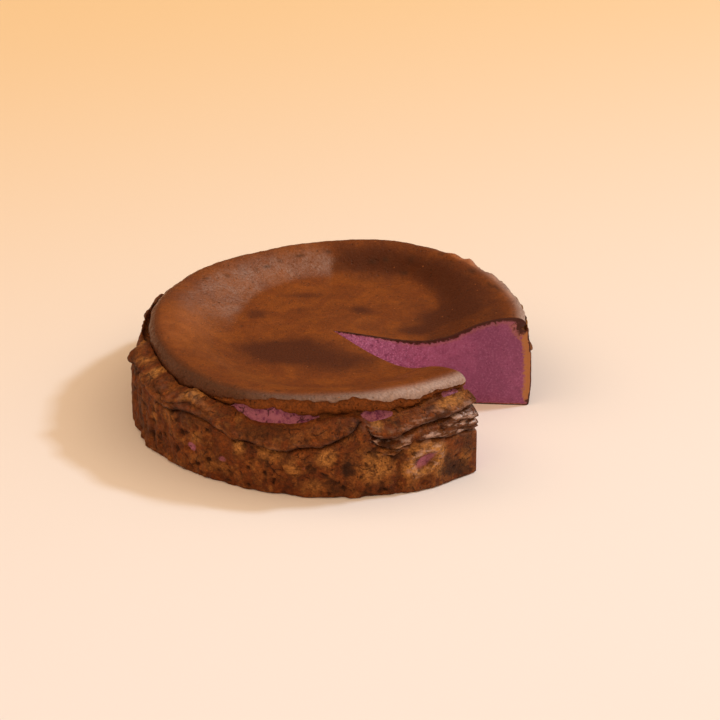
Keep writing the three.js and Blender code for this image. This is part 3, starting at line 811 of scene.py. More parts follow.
def top_relief(fields, points, column, radius, shoulder):
    """How far the skin stands up, in millimetres: soft swells, grain on the shoulder of the
    rim and curled bits at the rear right. It is calm towards the middle."""
    relief = (
        0.35 * layered_noise(points, 24.0, 71, 2)
        + 0.1 * layered_noise(points, 6.0, 73, 2)
        + (0.12 * fields.rough + 0.06 * fields.grain) * shoulder
    )
    for at_x, at_y, *sizes, height in SKIN_CURLS:
        curl = bell(patch(points[..., 0] - at_x, points[..., 1] - at_y, *sizes), 0, 1)
        relief = relief + (height * curl + 0.5 * curl * fields.rough) * off_the_cuts(column)
    return relief * smooth_step(0, CALM_MIDDLE, radius)


def pushed_out(radius, z, relief, on_side):
    """The grid moved by its relief: the side straight out, the rest along the normals in each
    column's half plane, which are worked out from the run of its rows."""
    run = np.stack([np.gradient(radius, axis=1), np.gradient(z, axis=1)], -1)
    run /= np.maximum(np.linalg.norm(run, axis=-1, keepdims=True), 1e-9)
    radius = radius + np.where(on_side, 1.0, -run[..., 1]) * relief
    return radius, z + np.where(on_side, 0.0, run[..., 0]) * relief


def side_masks(fields, column, z, radius, on_side, on_lip, down_the_gap):
    """Masks of the crust's finish, and of the light and shade painted on it. Custard shows in
    bare patches, and in lens shaped strips of the gap below the torn skin."""
    _, _, wet, crack = fold_relief(column, z)
    golden = patches(column, z, radius, GOLDEN_AND_PAINTED_LIGHT_PATCHES) * (on_side | on_lip)
    bare = patches(column, z, radius, CUSTARD_PATCHES, 0.12) * on_side
    # How high the side stands: its hollows get painted shade, its crests painted golden light.
    raised = (
        0.5 + 0.5 * fields.rough + 0.25 * fields.grain + 0.1 * fields.layers
        + 0.12 * fields.lump - 0.5 * fields.pits
    )
    opened = -1.0
    for middle, half_turn in OPEN_STRIPS:
        opened = np.maximum(opened, 1 - (turn_from(middle, column) / half_turn) ** 2)
    opened = 1.6 * opened - np.abs(2 * down_the_gap - 1) + 0.2 * fields.rough
    strips = smooth_step(0, 0.3, opened) * (np.abs(down_the_gap - 0.5) <= 0.5)
    return {
        "golden": np.clip(np.maximum(golden, bell(fields.eye, 0.9, 0.34) * on_side), 0, 1),
        "raised": np.clip(np.where(on_side, raised, 0.5), 0, 1),
        "burnt": np.clip(patches(column, z, radius, BURNT_PATCHES) * on_side, 0, 1),
        "crack": np.clip(crack * on_side + 0.6 * np.clip(fields.pits, 0, 1), 0, 1),
        "custard": np.maximum(strips, bare),
        "wet": np.maximum(wet, bell(fields.eye, 0.8, 0.3)) * on_side,
    }


def top_masks(points, column, radius, shoulder):
    """Masks of the skin's finish, and of the light, sheen and shade painted on it. Around the
    rim they are read at an angle that leads towards the middle and wavers, so that their
    borders slant and aren't straight."""
    x, y = radius * np.cos(np.radians(column)), radius * np.sin(np.radians(column))
    cloud, nicks = np.zeros((2, *x.shape))
    for at_x, at_y, *sizes, strength in TOP_CLOUDS:
        cloud = cloud + strength * bell(patch(x - at_x, y - at_y, *sizes), 0, 1)
    for at_x, at_y, *sizes in SKIN_NICKS:
        nicks = np.maximum(nicks, np.exp(-patch(x - at_x, y - at_y, *sizes) ** 3))
    share = radius / (around(SKIN_RADIUS, column) - CREST_INSET)
    start = around(CLIMB_START, column)
    slanted = column + 25 * (0.95 - np.clip(share, 0.7, 1)) + 2.5 * lattice_noise(points, 9.0, 77)
    on_slope = smooth_step(start - 0.02, start + 0.12, share)
    on_slope = on_slope * (1 - 0.6 * smooth_step(0.9, 1, share))
    slope = around(SLOPE_BROWNING_AND_PAINTED_SHADE, slanted) * on_slope
    cloud = np.where(cloud < 0, cloud + slope, np.maximum(slope, cloud))
    toward_rim = np.maximum(smooth_step(start, start + 0.12, share), shoulder)
    toward_rim = toward_rim * (1 - 0.55 * smooth_step(0.88, 0.98, share))
    return {
        "cloud": np.clip(cloud, -1, 1),
        "nicks": nicks,
        "polish": 0.3 + (around(SLOPE_POLISH, slanted) - 0.3) * toward_rim,
        "shoulder": shoulder * around(RIM_SHADE, column),
        "painted_rim_sheen": around(RIM_PAINTED_SHEEN, column),
    }


def baked_surface(turn):
    """The finished grid of the crust and its masks: the outline, pushed out by its relief."""
    radius, z, starts = crust_outline(turn)
    points = place(turn, radius, z)
    column = turn[:, None] + 0 * radius
    rows = np.arange(radius.shape[1])[None, :] + 0 * radius

    def is_in(first, last):
        return (rows >= starts[first]) & (rows < starts[last])

    on_top = is_in("top", "curl")
    on_side = is_in("side", "base")
    shoulder = smooth_step(starts["shoulder"] - 3, starts["shoulder"] + 5, rows) * on_top
    down_the_gap = (rows - starts["neck"]) / (starts["lip"] + 1 - starts["neck"])
    fields = surface_fields(points, column, radius, z, on_side)
    on_lip = is_in("lip", "side")
    masks = side_masks(fields, column, z, radius, on_side, on_lip, down_the_gap)

    lip_top = z[:, starts["side"] : starts["side"] + 1]
    of_side = side_relief(fields, column, z, lip_top)
    of_top = top_relief(fields, points, column, radius, shoulder)
    of_gap = (0.5 * fields.rough + 0.25 * fields.grain) * off_the_cuts(column)
    relief = np.where(on_side, of_side, np.where(on_top, of_top, of_gap))
    relief = np.where(rows >= starts["base"], 0, relief)
    radius, z = pushed_out(radius, z, relief, on_side)
    z = np.where(rows >= starts["foot"] + FOOT_ROWS - 1, 0.0, np.maximum(z, LEAST_HEIGHT))

    masks |= top_masks(points, column, radius, shoulder)
    masks["lid"] = on_top.astype(float)
    masks["band"] = is_in("curl", "neck").astype(float)
    masks["cloud"] = masks["cloud"] * on_top
    masks["polish"] = np.where(rows > starts["shoulder"] + 3, 1.0, masks["polish"])
    masks["crack"] = np.maximum(masks["crack"], masks.pop("nicks") * on_top)
    return radius, z, masks


# ---- The two cut faces -------------------------------------------------------------------

SKIN_TOP = 2.7  # thickness of the dark top skin where the knife went through
SKIN_SIDE = 3  # and of the crust at the side
SKIN_BASE = 0.8  # and under the cake
RIM_SKINS = (4.0, 1.8)  # and where it folds over the rim, at the far face and at the near one

# Points inside a cut face: how far apart, and how near and far from its outline.
CUT_POINTS = ((0.85, 0.45, 4.2), (2.2, 4.2, math.inf))


def distance_to(points, line):
    """Distance from each point to an open line of straight pieces, and the nearest piece."""
    start, end = line[:-1], line[1:]
    along = end - start
    length = np.maximum((along**2).sum(-1), 1e-12)
    offset = points[:, None, :] - start[None]
    t = np.clip((offset * along).sum(-1) / length, 0, 1)
    gap = np.linalg.norm(offset - t[..., None] * along, axis=-1)
    nearest = gap.argmin(1)
    return gap[np.arange(len(points)), nearest], nearest


def is_inside(points, outline):
    """Which points lie inside a closed outline: an odd number of its sides crosses the ray
    that runs from the point in the direction of +x."""
    start, end = outline, np.roll(outline, -1, axis=0)
    x, y = points[:, :1], points[:, 1:]
    spans = (start[:, 1] > y) != (end[:, 1] > y)
    rise = np.where(start[:, 1] == end[:, 1], 1e-12, end[:, 1] - start[:, 1])
    crossing = start[:, 0] + (y - start[:, 1]) / rise * (end[:, 0] - start[:, 0])
    return (spans & (x < crossing)).sum(1) % 2 == 1


def cut_face(outline, rng):
    """Triangles that fill one cut face, as a Delaunay mesh of its outline and of scattered
    points inside it, dense in the crust and wide apart in the custard."""
    low, high = outline.min(0), outline.max(0)
    closed = np.vstack([outline, outline[:1]])
    scattered = []
    for spacing, nearest, furthest in CUT_POINTS:
        across = np.arange(low[0] + 0.3, high[0], spacing)
        up = np.arange(low[1] + 0.3, high[1], spacing)
        grid = np.stack(np.meshgrid(across, up), -1).reshape(-1, 2)
        grid = grid + rng.uniform(-0.22, 0.22, grid.shape) * spacing
        grid = grid[is_inside(grid, outline)]
        gap, _ = distance_to(grid, closed)
        scattered.append(grid[(gap > nearest) & (gap <= furthest)])
    inside = np.vstack(scattered)
    count = len(outline)
    corners = [Vector(point) for point in np.vstack([outline, inside])]
    rim = [(i, (i + 1) % count) for i in range(count)]
    made, _, faces, origins, _, _ = delaunay_2d_cdt(corners, rim, [], 1, 1e-5)
    if len(made) != len(corners):
        raise RuntimeError(f"the cut face crosses itself: {len(made)} points of {len(corners)}")
    order = np.array([origin[0] for origin in origins])
    return inside, order[np.array(faces)]


def skin_share(inside, crust, rim_skin):
    """How deep each point lies, as a share of the crust's thickness there: thin on the top,
    thicker over the rim and at the side, thinnest at the base. And how toasted the custard is
    behind the crust: amber at the side and the base, hardly at all under the top."""
    gap, nearest = distance_to(inside, crust)
    radius, height = crust[nearest].T
    over_rim = smooth_step(77, 83, radius) * smooth_step(38, 40, height)
    at_side = smooth_step(84, 91, radius) * smooth_step(1.5, 4, height)
    at_base = 1 - smooth_step(0.5, 1.5, height)
    toasted = at_side * (1 - 0.6 * over_rim) + 0.4 * at_base
    thickness = SKIN_TOP * (0.5 + 0.5 * smooth_step(15, 45, radius))
    thickness = thickness + (SKIN_SIDE - thickness) * at_side * (1 - over_rim)
    thickness = thickness + (rim_skin - thickness) * over_rim
    thickness = thickness + (SKIN_BASE - thickness) * at_base
    return gap / thickness, np.clip(toasted, 0, 1)


# ---- Meshes ------------------------------------------------------------------------------


def new_piece(name, vertices, faces, materials, face_materials=None, masks=None):
    """A mesh object with smooth faces, its materials and its masks as point attributes."""
    mesh = bpy.data.meshes.new(name)
    mesh.from_pydata((vertices * MM).tolist(), [], faces)
    for material in materials:
        mesh.materials.append(material)
    if face_materials is not None:
        mesh.polygons.foreach_set("material_index", face_materials)
    mesh.polygons.foreach_set("use_smooth", np.ones(len(mesh.polygons), dtype=bool))
    for mask, values in (masks or {}).items():
        attribute = mesh.attributes.new(mask, "FLOAT", "POINT")
        attribute.data.foreach_set("value", values.astype(np.float32).ravel())
    mesh.update()
    piece = bpy.data.objects.new(name, mesh)
    bpy.context.scene.collection.objects.link(piece)
    return piece


def column_turns(columns):
    """Angles of the columns, from one cut face round to the other: 1.8 times as close together
    on the front half as on the back."""
    way = np.linspace(0, CRUST_TURN, 4000)
    passed = np.cumsum(1 + 0.8 * smooth_step(155, 185, way))
    share = np.linspace(passed[0], passed[-1], columns + 1)
    return CUT_FAR_FACE + np.interp(share, passed, way)


SKIN, CRUST, CUT = 0, 1, 2  # places of the three materials
DEEP_INSIDE = 9.0  # depth of the inner axis, in thicknesses of the skin
CUT_SEED = 5


def cut_surface(column, angle, crust, axis_heights, rng):
    """One cut face: the triangles on its outline and the points inside it, those points in
    space, dragged out a little by the knife and by crumbs, and their masks."""
    up_the_axis = np.stack([0 * axis_heights, axis_heights], -1)[::-1]
    inside, triangles = cut_face(np.vstack([crust, up_the_axis]), rng)
    shares, toasted = skin_share(inside, crust, RIM_SKINS[min(column, 1)])
    ray = np.array([math.cos(math.radians(angle)), math.sin(math.radians(angle)), 0])
    points = inside[:, :1] * ray + inside[:, 1:] * np.array([0, 0, 1.0])
    outwards = np.array([ray[1], -ray[0], 0]) * (-1 if column else 1)
    drag = layered_noise(points * np.array([0.35, 0.35, 1]), 3.0, 81, 2)
    crumb = layered_noise(points, 1.4, 83, 2)
    # Grainier towards the middle of the far face, where the custard is also painted lighter.
    grain_and_painted_light = 0.25 + 0 * inside[:, 0] if column else bell(inside[:, 0], 0, 42)
    out = np.clip(shares, 0, 1) * (0.16 * drag + (0.1 + 0.32 * grain_and_painted_light) * crumb)
    masks = {"skin_depth": shares, "toasted": toasted, "grain_and_painted_light": grain_and_painted_light}
    return triangles, points + outwards * out[:, None], masks


def cake_mesh(sizes):
    """Vertices, faces, the material of each face and the masks of the whole cake."""
    columns = sizes.columns
    turn = column_turns(columns)
    radius, z, masks = baked_surface(turn)
    rows = radius.shape[1]
    top_middle = float(top_height(0.0, np.array([[0.0]]))[0, 0])

    # The line where the two cut faces meet, from the middle of the top to that of the base.
    axis_heights = np.linspace(top_middle, 0, AXIS_POINTS)
    axis = np.stack([0 * axis_heights, 0 * axis_heights, axis_heights], -1)
    axis_start = radius.size
    vertices = [place(turn, radius, z).reshape(-1, 3), axis]
    values = {name: [mask.ravel(), np.zeros(AXIS_POINTS)] for name, mask in masks.items()}
    for name in ("skin_depth", "toasted", "grain_and_painted_light"):
        values[name] = [np.zeros(radius.size), np.zeros(AXIS_POINTS)]
    values["lid"][1][0] = 1.0
    values["skin_depth"][1][1:-1] = DEEP_INSIDE
    values["grain_and_painted_light"][1][:] = 1.0

    here = (np.arange(columns)[:, None] * rows + np.arange(rows - 1)[None, :]).ravel()
    quads = np.stack([here, here + 1, here + rows + 1, here + rows], -1)
    start = np.arange(columns) * rows
    top_fan = np.stack([np.full(columns, axis_start), start, start + rows], -1)
    last = start + rows - 1
    base_fan = np.stack([np.full(columns, axis_start + AXIS_POINTS - 1), last + rows, last], -1)
    faces = [*quads.tolist(), *top_fan.tolist(), *base_fan.tolist()]
    baked_faces = len(faces)

    rng = np.random.default_rng(CUT_SEED)
    made = axis_start + AXIS_POINTS
    for column, angle in ((0, CUT_FAR_FACE), (columns, CUT_NEAR_FACE)):
        crust = np.stack([radius[column], z[column]], -1)
        triangles, points, cut_masks = cut_surface(column, angle, crust, axis_heights, rng)
        numbers = np.concatenate([
            column * rows + np.arange(rows),
            axis_start + np.arange(AXIS_POINTS)[::-1],
            made + np.arange(len(points)),
        ])
        made += len(points)
        vertices.append(points)
        for name, parts in values.items():
            parts.append(cut_masks.get(name, np.zeros(len(points))))
        outwards = -1 if column else 1  # a face of the near cut is turned round
        faces.extend(numbers[triangles][:, ::outwards].tolist())

    joined = {name: np.concatenate(parts) for name, parts in values.items()}
    slots = np.full(len(faces), CUT, dtype=np.int32)
    slots[:baked_faces] = CRUST
    slots[: len(quads)][joined["lid"][here + 1] > 0.5] = SKIN
    slots[len(quads) : len(quads) + columns] = SKIN
    return np.vstack(vertices), faces, slots, joined


# ---- Materials ---------------------------------------------------------------------------

# The nodes in use: Blender's name for each, its settings, its inputs in the order in which
# add_node takes their values, and the output that it hands back.
NOISE_INPUTS = ("Vector", "Scale", "Detail", "Roughness", "Distortion")
RANGE_INPUTS = ("Value", "From Min", "From Max", "To Min", "To Max")
SHADER_INPUTS = (
    "Base Color", "Roughness", "Specular IOR Level", "Normal", "Specular Tint",
    "Subsurface Weight", "Subsurface Radius", "Subsurface Scale",
)
NODES = {
    "place": ("ShaderNodeTexCoord", {}, (), "Object"),
    "direction": ("ShaderNodeTexCoord", {}, (), "Generated"),
    "mask": ("ShaderNodeAttribute", {}, (), "Fac"),
    "noise": ("ShaderNodeTexNoise", {}, NOISE_INPUTS, "Fac"),
    "drift": ("ShaderNodeTexNoise", {}, NOISE_INPUTS, "Color"),
    "cells": ("ShaderNodeTexVoronoi", {}, ("Vector", "Scale"), "Distance"),
    "cell walls": (
        "ShaderNodeTexVoronoi", {"feature": "DISTANCE_TO_EDGE"}, ("Vector", "Scale"), "Distance",
    ),
    "range": ("ShaderNodeMapRange", {"interpolation_type": "SMOOTHSTEP"}, RANGE_INPUTS, "Result"),
    "mix": ("ShaderNodeMix", {"data_type": "RGBA"}, (0, 6, 7), 2),
    "tint": ("ShaderNodeMix", {"data_type": "RGBA", "blend_type": "MULTIPLY"}, (0, 6, 7), 2),
    "mix values": ("ShaderNodeMix", {"data_type": "FLOAT"}, (0, 2, 3), 0),
    "stretch": ("ShaderNodeVectorMath", {"operation": "MULTIPLY"}, (0, 1), 0),
    "shift": ("ShaderNodeVectorMath", {"operation": "MULTIPLY_ADD"}, (0, 1, 2), 0),
    "bump": ("ShaderNodeBump", {}, ("Strength", "Distance", "Height"), 0),
    "shader": ("ShaderNodeBsdfPrincipled", {}, SHADER_INPUTS, 0),
    "surface": ("ShaderNodeOutputMaterial", {}, ("Surface",), None),
    "background": ("ShaderNodeBackground", {}, ("Color", "Strength"), 0),
    "world": ("ShaderNodeOutputWorld", {}, ("Surface",), None),
}
for operation in ("ADD", "SUBTRACT", "MULTIPLY", "MAXIMUM"):
    NODES[operation.lower()] = ("ShaderNodeMath", {"operation": operation}, (0, 1), 0)
for axis_name in "XYZ":
    NODES[axis_name.lower()] = ("ShaderNodeSeparateXYZ", {}, (0,), axis_name)


def add_node(tree, kind, *values, **settings):
    """Adds one of the nodes above, sets or links its inputs in their order, applies any more
    settings and hands back its output."""
    blender_name, usual_settings, inputs, output = NODES[kind]
    made = tree.nodes.new(blender_name)
    for name, value in {**usual_settings, **settings}.items():
        setattr(made, name, value)
    for name, value in zip(inputs, values):
        if isinstance(value, bpy.types.NodeSocket):
            tree.links.new(value, made.inputs[name])
        else:
            made.inputs[name].default_value = value
    return None if output is None else made.outputs[output]


def per_metre(size_mm):
    """The scale that gives a pattern this many millimetres from one feature to the next."""
    return 1.0 / (size_mm * MM)


def new_material(name):
    """An empty node material, and add_node for its tree."""
    material = bpy.data.materials.new(name)
    material.use_nodes = True
    material.node_tree.nodes.clear()
    return material, partial(add_node, material.node_tree)


def layered_colour(add, colour, layers):
    """A colour with others laid over it in turn, each by its share."""
    for share, coat in layers:
        colour = add("mix", share, colour, coat)
    return colour


def pores(add, where, size_mm):
    """Small round pits, 1 in the middle of each, here and there."""
    cells = add("cells", where, per_metre(size_mm))
    sparse = add("range", add("noise", where, per_metre(5), 2, 0.55), 0.44, 0.58)
    return add("multiply", add("range", cells, 0.1, 0.28, 1, 0), sparse)


def finish(add, height, bump_mm, strength, colour, rough, specular, *more):
    """Relief finer than the mesh, from a height of 0 to 1, and the shader that ends the tree."""
    bump = add("bump", strength, bump_mm * MM, height)
    add("surface", add("shader", colour, rough, specular, bump, *more))


def baked_skin(colours):
    """Top skin of the cake, baked until its sugar caramelised: chestnut brown with burnt
    clouds, leathery and finely pored. It reads as satin, with a broad soft sheen. That sheen
    is partly painted in pale on the polished slope and the rim's shoulder, and some paler
    clouds are painted light."""
    material, add = new_material("Caramelised cheesecake skin")
    where = add("place")
    cloudy = add("noise", where, per_metre(15), 5, 0.6, 0.4)
    patchy = add("noise", where, per_metre(9), 5, 0.65, 0.6)
    speckled = add("noise", where, per_metre(2.4), 4, 0.65)
    leather = add("noise", where, per_metre(1.2), 3, 0.6)
    crumbs = add("cells", where, per_metre(6))
    pore = pores(add, where, 2.8)
    polish = add("mask", attribute_name="polish")

    colour = add("mix", add("range", cloudy, 0.36, 0.66), colours.skin, colours.skin_light)
    colour = add("tint", 1.0, colour, add("range", speckled, 0.3, 0.7, 0.86, 1.14))
    wisps = add("multiply", add("subtract", patchy, 0.5), 0.7)
    cloud = add("add", add("mask", attribute_name="cloud"), wisps)
    # Painted sheen, patchy, on the polished slope and the rim's shoulder.
    painted_slope_sheen = add("range", polish, 0.45, 1, 0, 0.36)
    painted_slope_sheen = add("multiply", painted_slope_sheen, add("range", leather, 0.3, 0.66, 0.35, 1))
    painted_slope_sheen = add("multiply", painted_slope_sheen, add("range", patchy, 0.42, 0.64, 0.6, 1.25))
    # The rim's shoulder, paled by painted sheen where RIM_PAINTED_SHEEN is high.
    rim = add("mix", add("mask", attribute_name="painted_rim_sheen"), colours.rim, colours.painted_sheen)
    rim = add("tint", 1.0, rim, add("range", leather, 0.3, 0.7, 0.8, 1.2))
    shoulder = add("mask", attribute_name="shoulder")
    marks = add("maximum", add("multiply", pore, 0.5), add("mask", attribute_name="crack"))
    colour = layered_colour(add, colour, (
        # Paler clouds: pale skin, and painted light on the left slope and the rear right curls.
        (add("range", cloud, 0.0, -0.9, 0, 0.9), colours.pale_skin_and_painted_light),
        (add("range", cloud, 0.05, 0.85, 0, 0.95), colours.burnt_skin),
        (painted_slope_sheen, colours.painted_sheen),
        (add("multiply", shoulder, add("range", cloudy, 0.2, 0.6, 0.75, 1)), rim),
        (add("range", crumbs, 0.045, 0.085, 0.6, 0), colours.pale_skin_and_painted_light),
        (add("multiply", marks, 0.7), colours.char),
    ))

    rough = add("range", add("noise", where, per_metre(4), 4, 0.6), 0.3, 0.7, 0.34, 0.46)
    rough = add("add", rough, add("range", polish, 1, 0, 0, 0.3))
    height = add("add", add("multiply", leather, 1.4), speckled)
    height = add("subtract", height, pore)
    finish(add, height, 0.36, 0.8, colour, rough, 0.42, (1.0, 0.63, 0.39, 1.0))
    return material


def torn_crust(colours):
    """Side and base of the cake, where the baking paper was pulled away: papery brown layers
    with ragged edges, golden where they peeled, cracked and pitted. It reads as rough and
    nearly matt, and as sticky syrup where the folds are wet. Highlights are painted pale on
    the wet folds, shade dark in the cracks, pits and hollows, and light golden on the crests
    and at the rear right."""
    material, add = new_material("Torn cheesecake crust")
    where = add("place")
    wet = add("mask", attribute_name="wet")
    band = add("mask", attribute_name="band")
    burnt = add("mask", attribute_name="burnt")
    raised = add("mask", attribute_name="raised")
    patchy = add("noise", where, per_metre(9), 5, 0.65, 0.6)
    speckled = add("noise", where, per_metre(2.4), 4, 0.65)
    grain = add("noise", where, per_metre(0.8), 3, 0.6)
    streaky = add("noise", add("stretch", where, (1.0, 1.0, 0.28)), per_metre(2.6), 3, 0.6)
    papery = add("noise", where, per_metre(7), 6, 0.62, 0.5)
    layer = add("range", papery, 0.5, 0.54)

    # Pores, and thin cracks as between cells of dried mud, bent by noise, open only in places.
    pore = add("multiply", pores(add, where, 2.2), 0.9)
    drift = add("drift", where, per_metre(6), 3.0)
    bent = add("shift", drift, (6 * MM, 6 * MM, 6 * MM), where)
    thin_crack = add("range", add("cell walls", bent, per_metre(8)), 0.0, 0.045, 1, 0)
    open_here = add("range", add("noise", where, per_metre(9), 3, 0.55), 0.52, 0.64)
    thin_crack = add("multiply", thin_crack, open_here)
    thin_crack = add("multiply", thin_crack, add("range", band, 0, 1, 1, 0))
    lines = add("maximum", thin_crack, pore)

    broken = add("range", speckled, 0.35, 0.6, 0.45, 1)
    golden = add("multiply", broken, add("mask", attribute_name="golden"))
    colour = add("mix", add("range", patchy, 0.38, 0.62), colours.side_dark, colours.side)
    colour = layered_colour(add, colour, (
        (add("multiply", layer, 0.14), colours.golden),
        (add("range", streaky, 0.6, 0.35, 0, 0.35), colours.smudge),
        (add("range", wet, 0.2, 1, 0, 0.6), colours.smudge),
        (golden, colours.golden),
        (add("range", burnt, 0, 1, 0, 0.8), colours.smudge),
        (add("range", burnt, 0.6, 1, 0, 0.4), colours.char),
        # Darker in the hollows of the side and golden on its crests: painted shade and painted
        # light.
        (add("range", raised, 0.38, 0.05, 0, 0.7), colours.char),
        (add("range", raised, 0.6, 0.95, 0, 0.25), colours.golden),
        (band, colours.band),
    ))
    colour = add("tint", 1.0, colour, add("range", speckled, 0.3, 0.7, 0.7, 1.22))
    colour = add("tint", 1.0, colour, add("range", grain, 0.3, 0.7, 0.68, 1.2))

    # Custard that shows through, and wet folds: wrinkled along their length, they shine on the
    # wrinkles, where pale highlights are also painted.
    fibres = add("range", speckled, 0.3, 0.55)
    fibres = add("mix", fibres, colours.custard_shade, colours.custard_dry)
    custard = add("mask", attribute_name="custard")
    custard = add("add", custard, add("subtract", patchy, 0.5))
    wrinkled = add("noise", add("stretch", where, (1.0, 1.0, 3.2)), per_metre(6), 4, 0.6)
    slick = add("multiply", wet, add("range", wrinkled, 0.4, 0.55, 0.4, 1))
    # Pale highlights painted on the wrinkles of the wet folds and the ring of the bare spot.
    painted_highlight_share = add("multiply", wet, add("range", wrinkled, 0.48, 0.68, 0, 0.8))
    crack = add("mask", attribute_name="crack")
    colour = layered_colour(add, colour, (
        (add("range", custard, 0.28, 0.7, 0, 0.95), fibres),
        # Char in the folds' cracks and the pits: partly burnt sugar, partly painted shade.
        (add("range", crack, 0.1, 1, 0, 0.85), colours.char),
        (add("multiply", lines, 0.8), colours.char),
        (painted_highlight_share, colours.painted_highlight),
    ))

    rough = add("range", speckled, 0.3, 0.7, 0.6, 0.78)
    rough = add("range", slick, 0, 0.8, rough, 0.2)
    height = add("add", grain, add("multiply", speckled, 1.2))
    height = add("mix values", wet, height, add("multiply", wrinkled, 3))
    height = add("add", height, add("multiply", layer, 0.9))
    height = add("subtract", height, add("multiply", lines, 1.2))
    strength = add("range", wet, 0.2, 1, 0.8, 0.6)
    finish(add, height, 0.4, strength, colour, rough, 0.24, (1.0, 0.7, 0.5, 1.0))
    return material


def yam_custard(colours):
    """Purple yam custard, cut with a knife: dense, moist and finely grained, with a dark edge
    where it browned. It reads as matt with tiny wet glints, painted as pale specks, and lets
    a little light in. The middle of the far face is painted lighter."""
    material, add = new_material("Purple yam custard, cut")
    where = add("place")
    grain_and_painted_light = add("mask", attribute_name="grain_and_painted_light")
    toasted = add("mask", attribute_name="toasted")
    wide = add("noise", where, per_metre(14), 3, 0.5)
    mottled = add("noise", where, per_metre(2.4), 4, 0.65)
    fine = add("noise", where, per_metre(0.9), 3, 0.65)
    pale = add("add", grain_and_painted_light, add("multiply", wide, 0.8))
    light = add("multiply", add("range", fine, 0.49, 0.62), add("range", grain_and_painted_light, 0.1, 1, 0.12, 0.95))
    dark = add("multiply", add("range", mottled, 0.5, 0.34), add("range", grain_and_painted_light, 0, 1, 0.35, 0.75))
    dark = add("maximum", dark, add("multiply", pores(add, where, 1.9), 0.7))

    # The browned edge: dark at the skin, amber inside it, then custard.
    uneven = add("range", add("noise", where, per_metre(1.6), 3, 0.6), 0.3, 0.7, -0.25, 0.25)
    depth = add("add", add("mask", attribute_name="skin_depth"), uneven)
    amber = add("range", toasted, 0, 1, 0.25, 0.95)
    amber = add("multiply", add("range", depth, 0.8, 1.5, 1, 0), amber)
    dark_edge = add("range", toasted, 0.4, 0.9, 1, 0.08)
    dark_edge = add("multiply", add("range", depth, 0.5, 0.9, 1, 0), dark_edge)

    # Darker towards the rim of the far face and painted lighter towards its middle, with pale specks
    # painted as glints.
    colour = add("mix", add("range", pale, 0.3, 0.85), colours.custard_deep, colours.custard)
    colour = layered_colour(add, colour, (
        (add("range", grain_and_painted_light, 0.4, 1, 0, 0.4), colours.pale_grains_and_painted_light),
        (light, colours.pale_grains_and_painted_light),
        (dark, colours.custard_shade),
        (amber, colours.amber),
        (dark_edge, colours.cut_skin),
    ))

    rough = add("range", mottled, 0.3, 0.7, 0.36, 0.6)
    height = add("add", fine, add("multiply", mottled, 1.4))
    height = add("multiply", height, add("range", grain_and_painted_light, 0, 1, 0.35, 1))
    untinted = (1.0, 1.0, 1.0, 1.0)
    light_inside = (0.15, (1.0, 0.4, 0.5), 1.5 * MM)
    finish(add, height, 0.3, 0.8, colour, rough, 0.3, untinted, *light_inside)
    return material


def sweep_paper(stage):
    """Seamless background paper, matt and pale, warmer towards the back."""
    material, add = new_material("Seamless paper")
    where = add("place")
    back = add("subtract", add("y", where), add("multiply", add("x", where), 0.35))
    colour = add("mix", add("range", back, -0.3, 0.75), stage.paper_front, stage.paper_back)
    add("surface", add("shader", colour, 0.9, 0.1))
    return material


def warm_room(stage):
    """The world: bright above its walls, dim lower down, behind the cake and straight up."""
    world = bpy.data.worlds.new("warm room")
    world.use_nodes = True
    world.node_tree.nodes.clear()
    add = partial(add_node, world.node_tree)
    direction = add("direction")
    height = add("z", direction)
    strength = add("range", height, 0.35, 0.7, 0.3 * stage.fill, stage.fill)
    strength = add("multiply", strength, add("range", height, 0.8, 0.93, 1, 0.3))
    behind = add("range", add("y", direction), 0.25, 0.8)
    strength = add("multiply", strength, add("range", behind, 0, 1, 1, 0.2))
    add("world", add("background", (1.0, 0.78, 0.54, 1.0), strength))
    return world


# ---- Settings ----------------------------------------------------------------------------


def colour_setting(name, description, hex_colour):
    """A colour that the user can change, with its default from a hex value."""
    return FloatVectorProperty(
        name=name,
        description=description,
        subtype="COLOR",
        size=4,
        min=0.0,
        max=1.0,
        default=linear(hex_colour),
    )


class CakeSizes(PropertyGroup):
    """Sizes of the cake's mesh."""

    columns: IntProperty(
        name="Columns",
        description="Steps around the crust, about one millimetre each",
        default=504,
        min=64,
        max=540,
    )


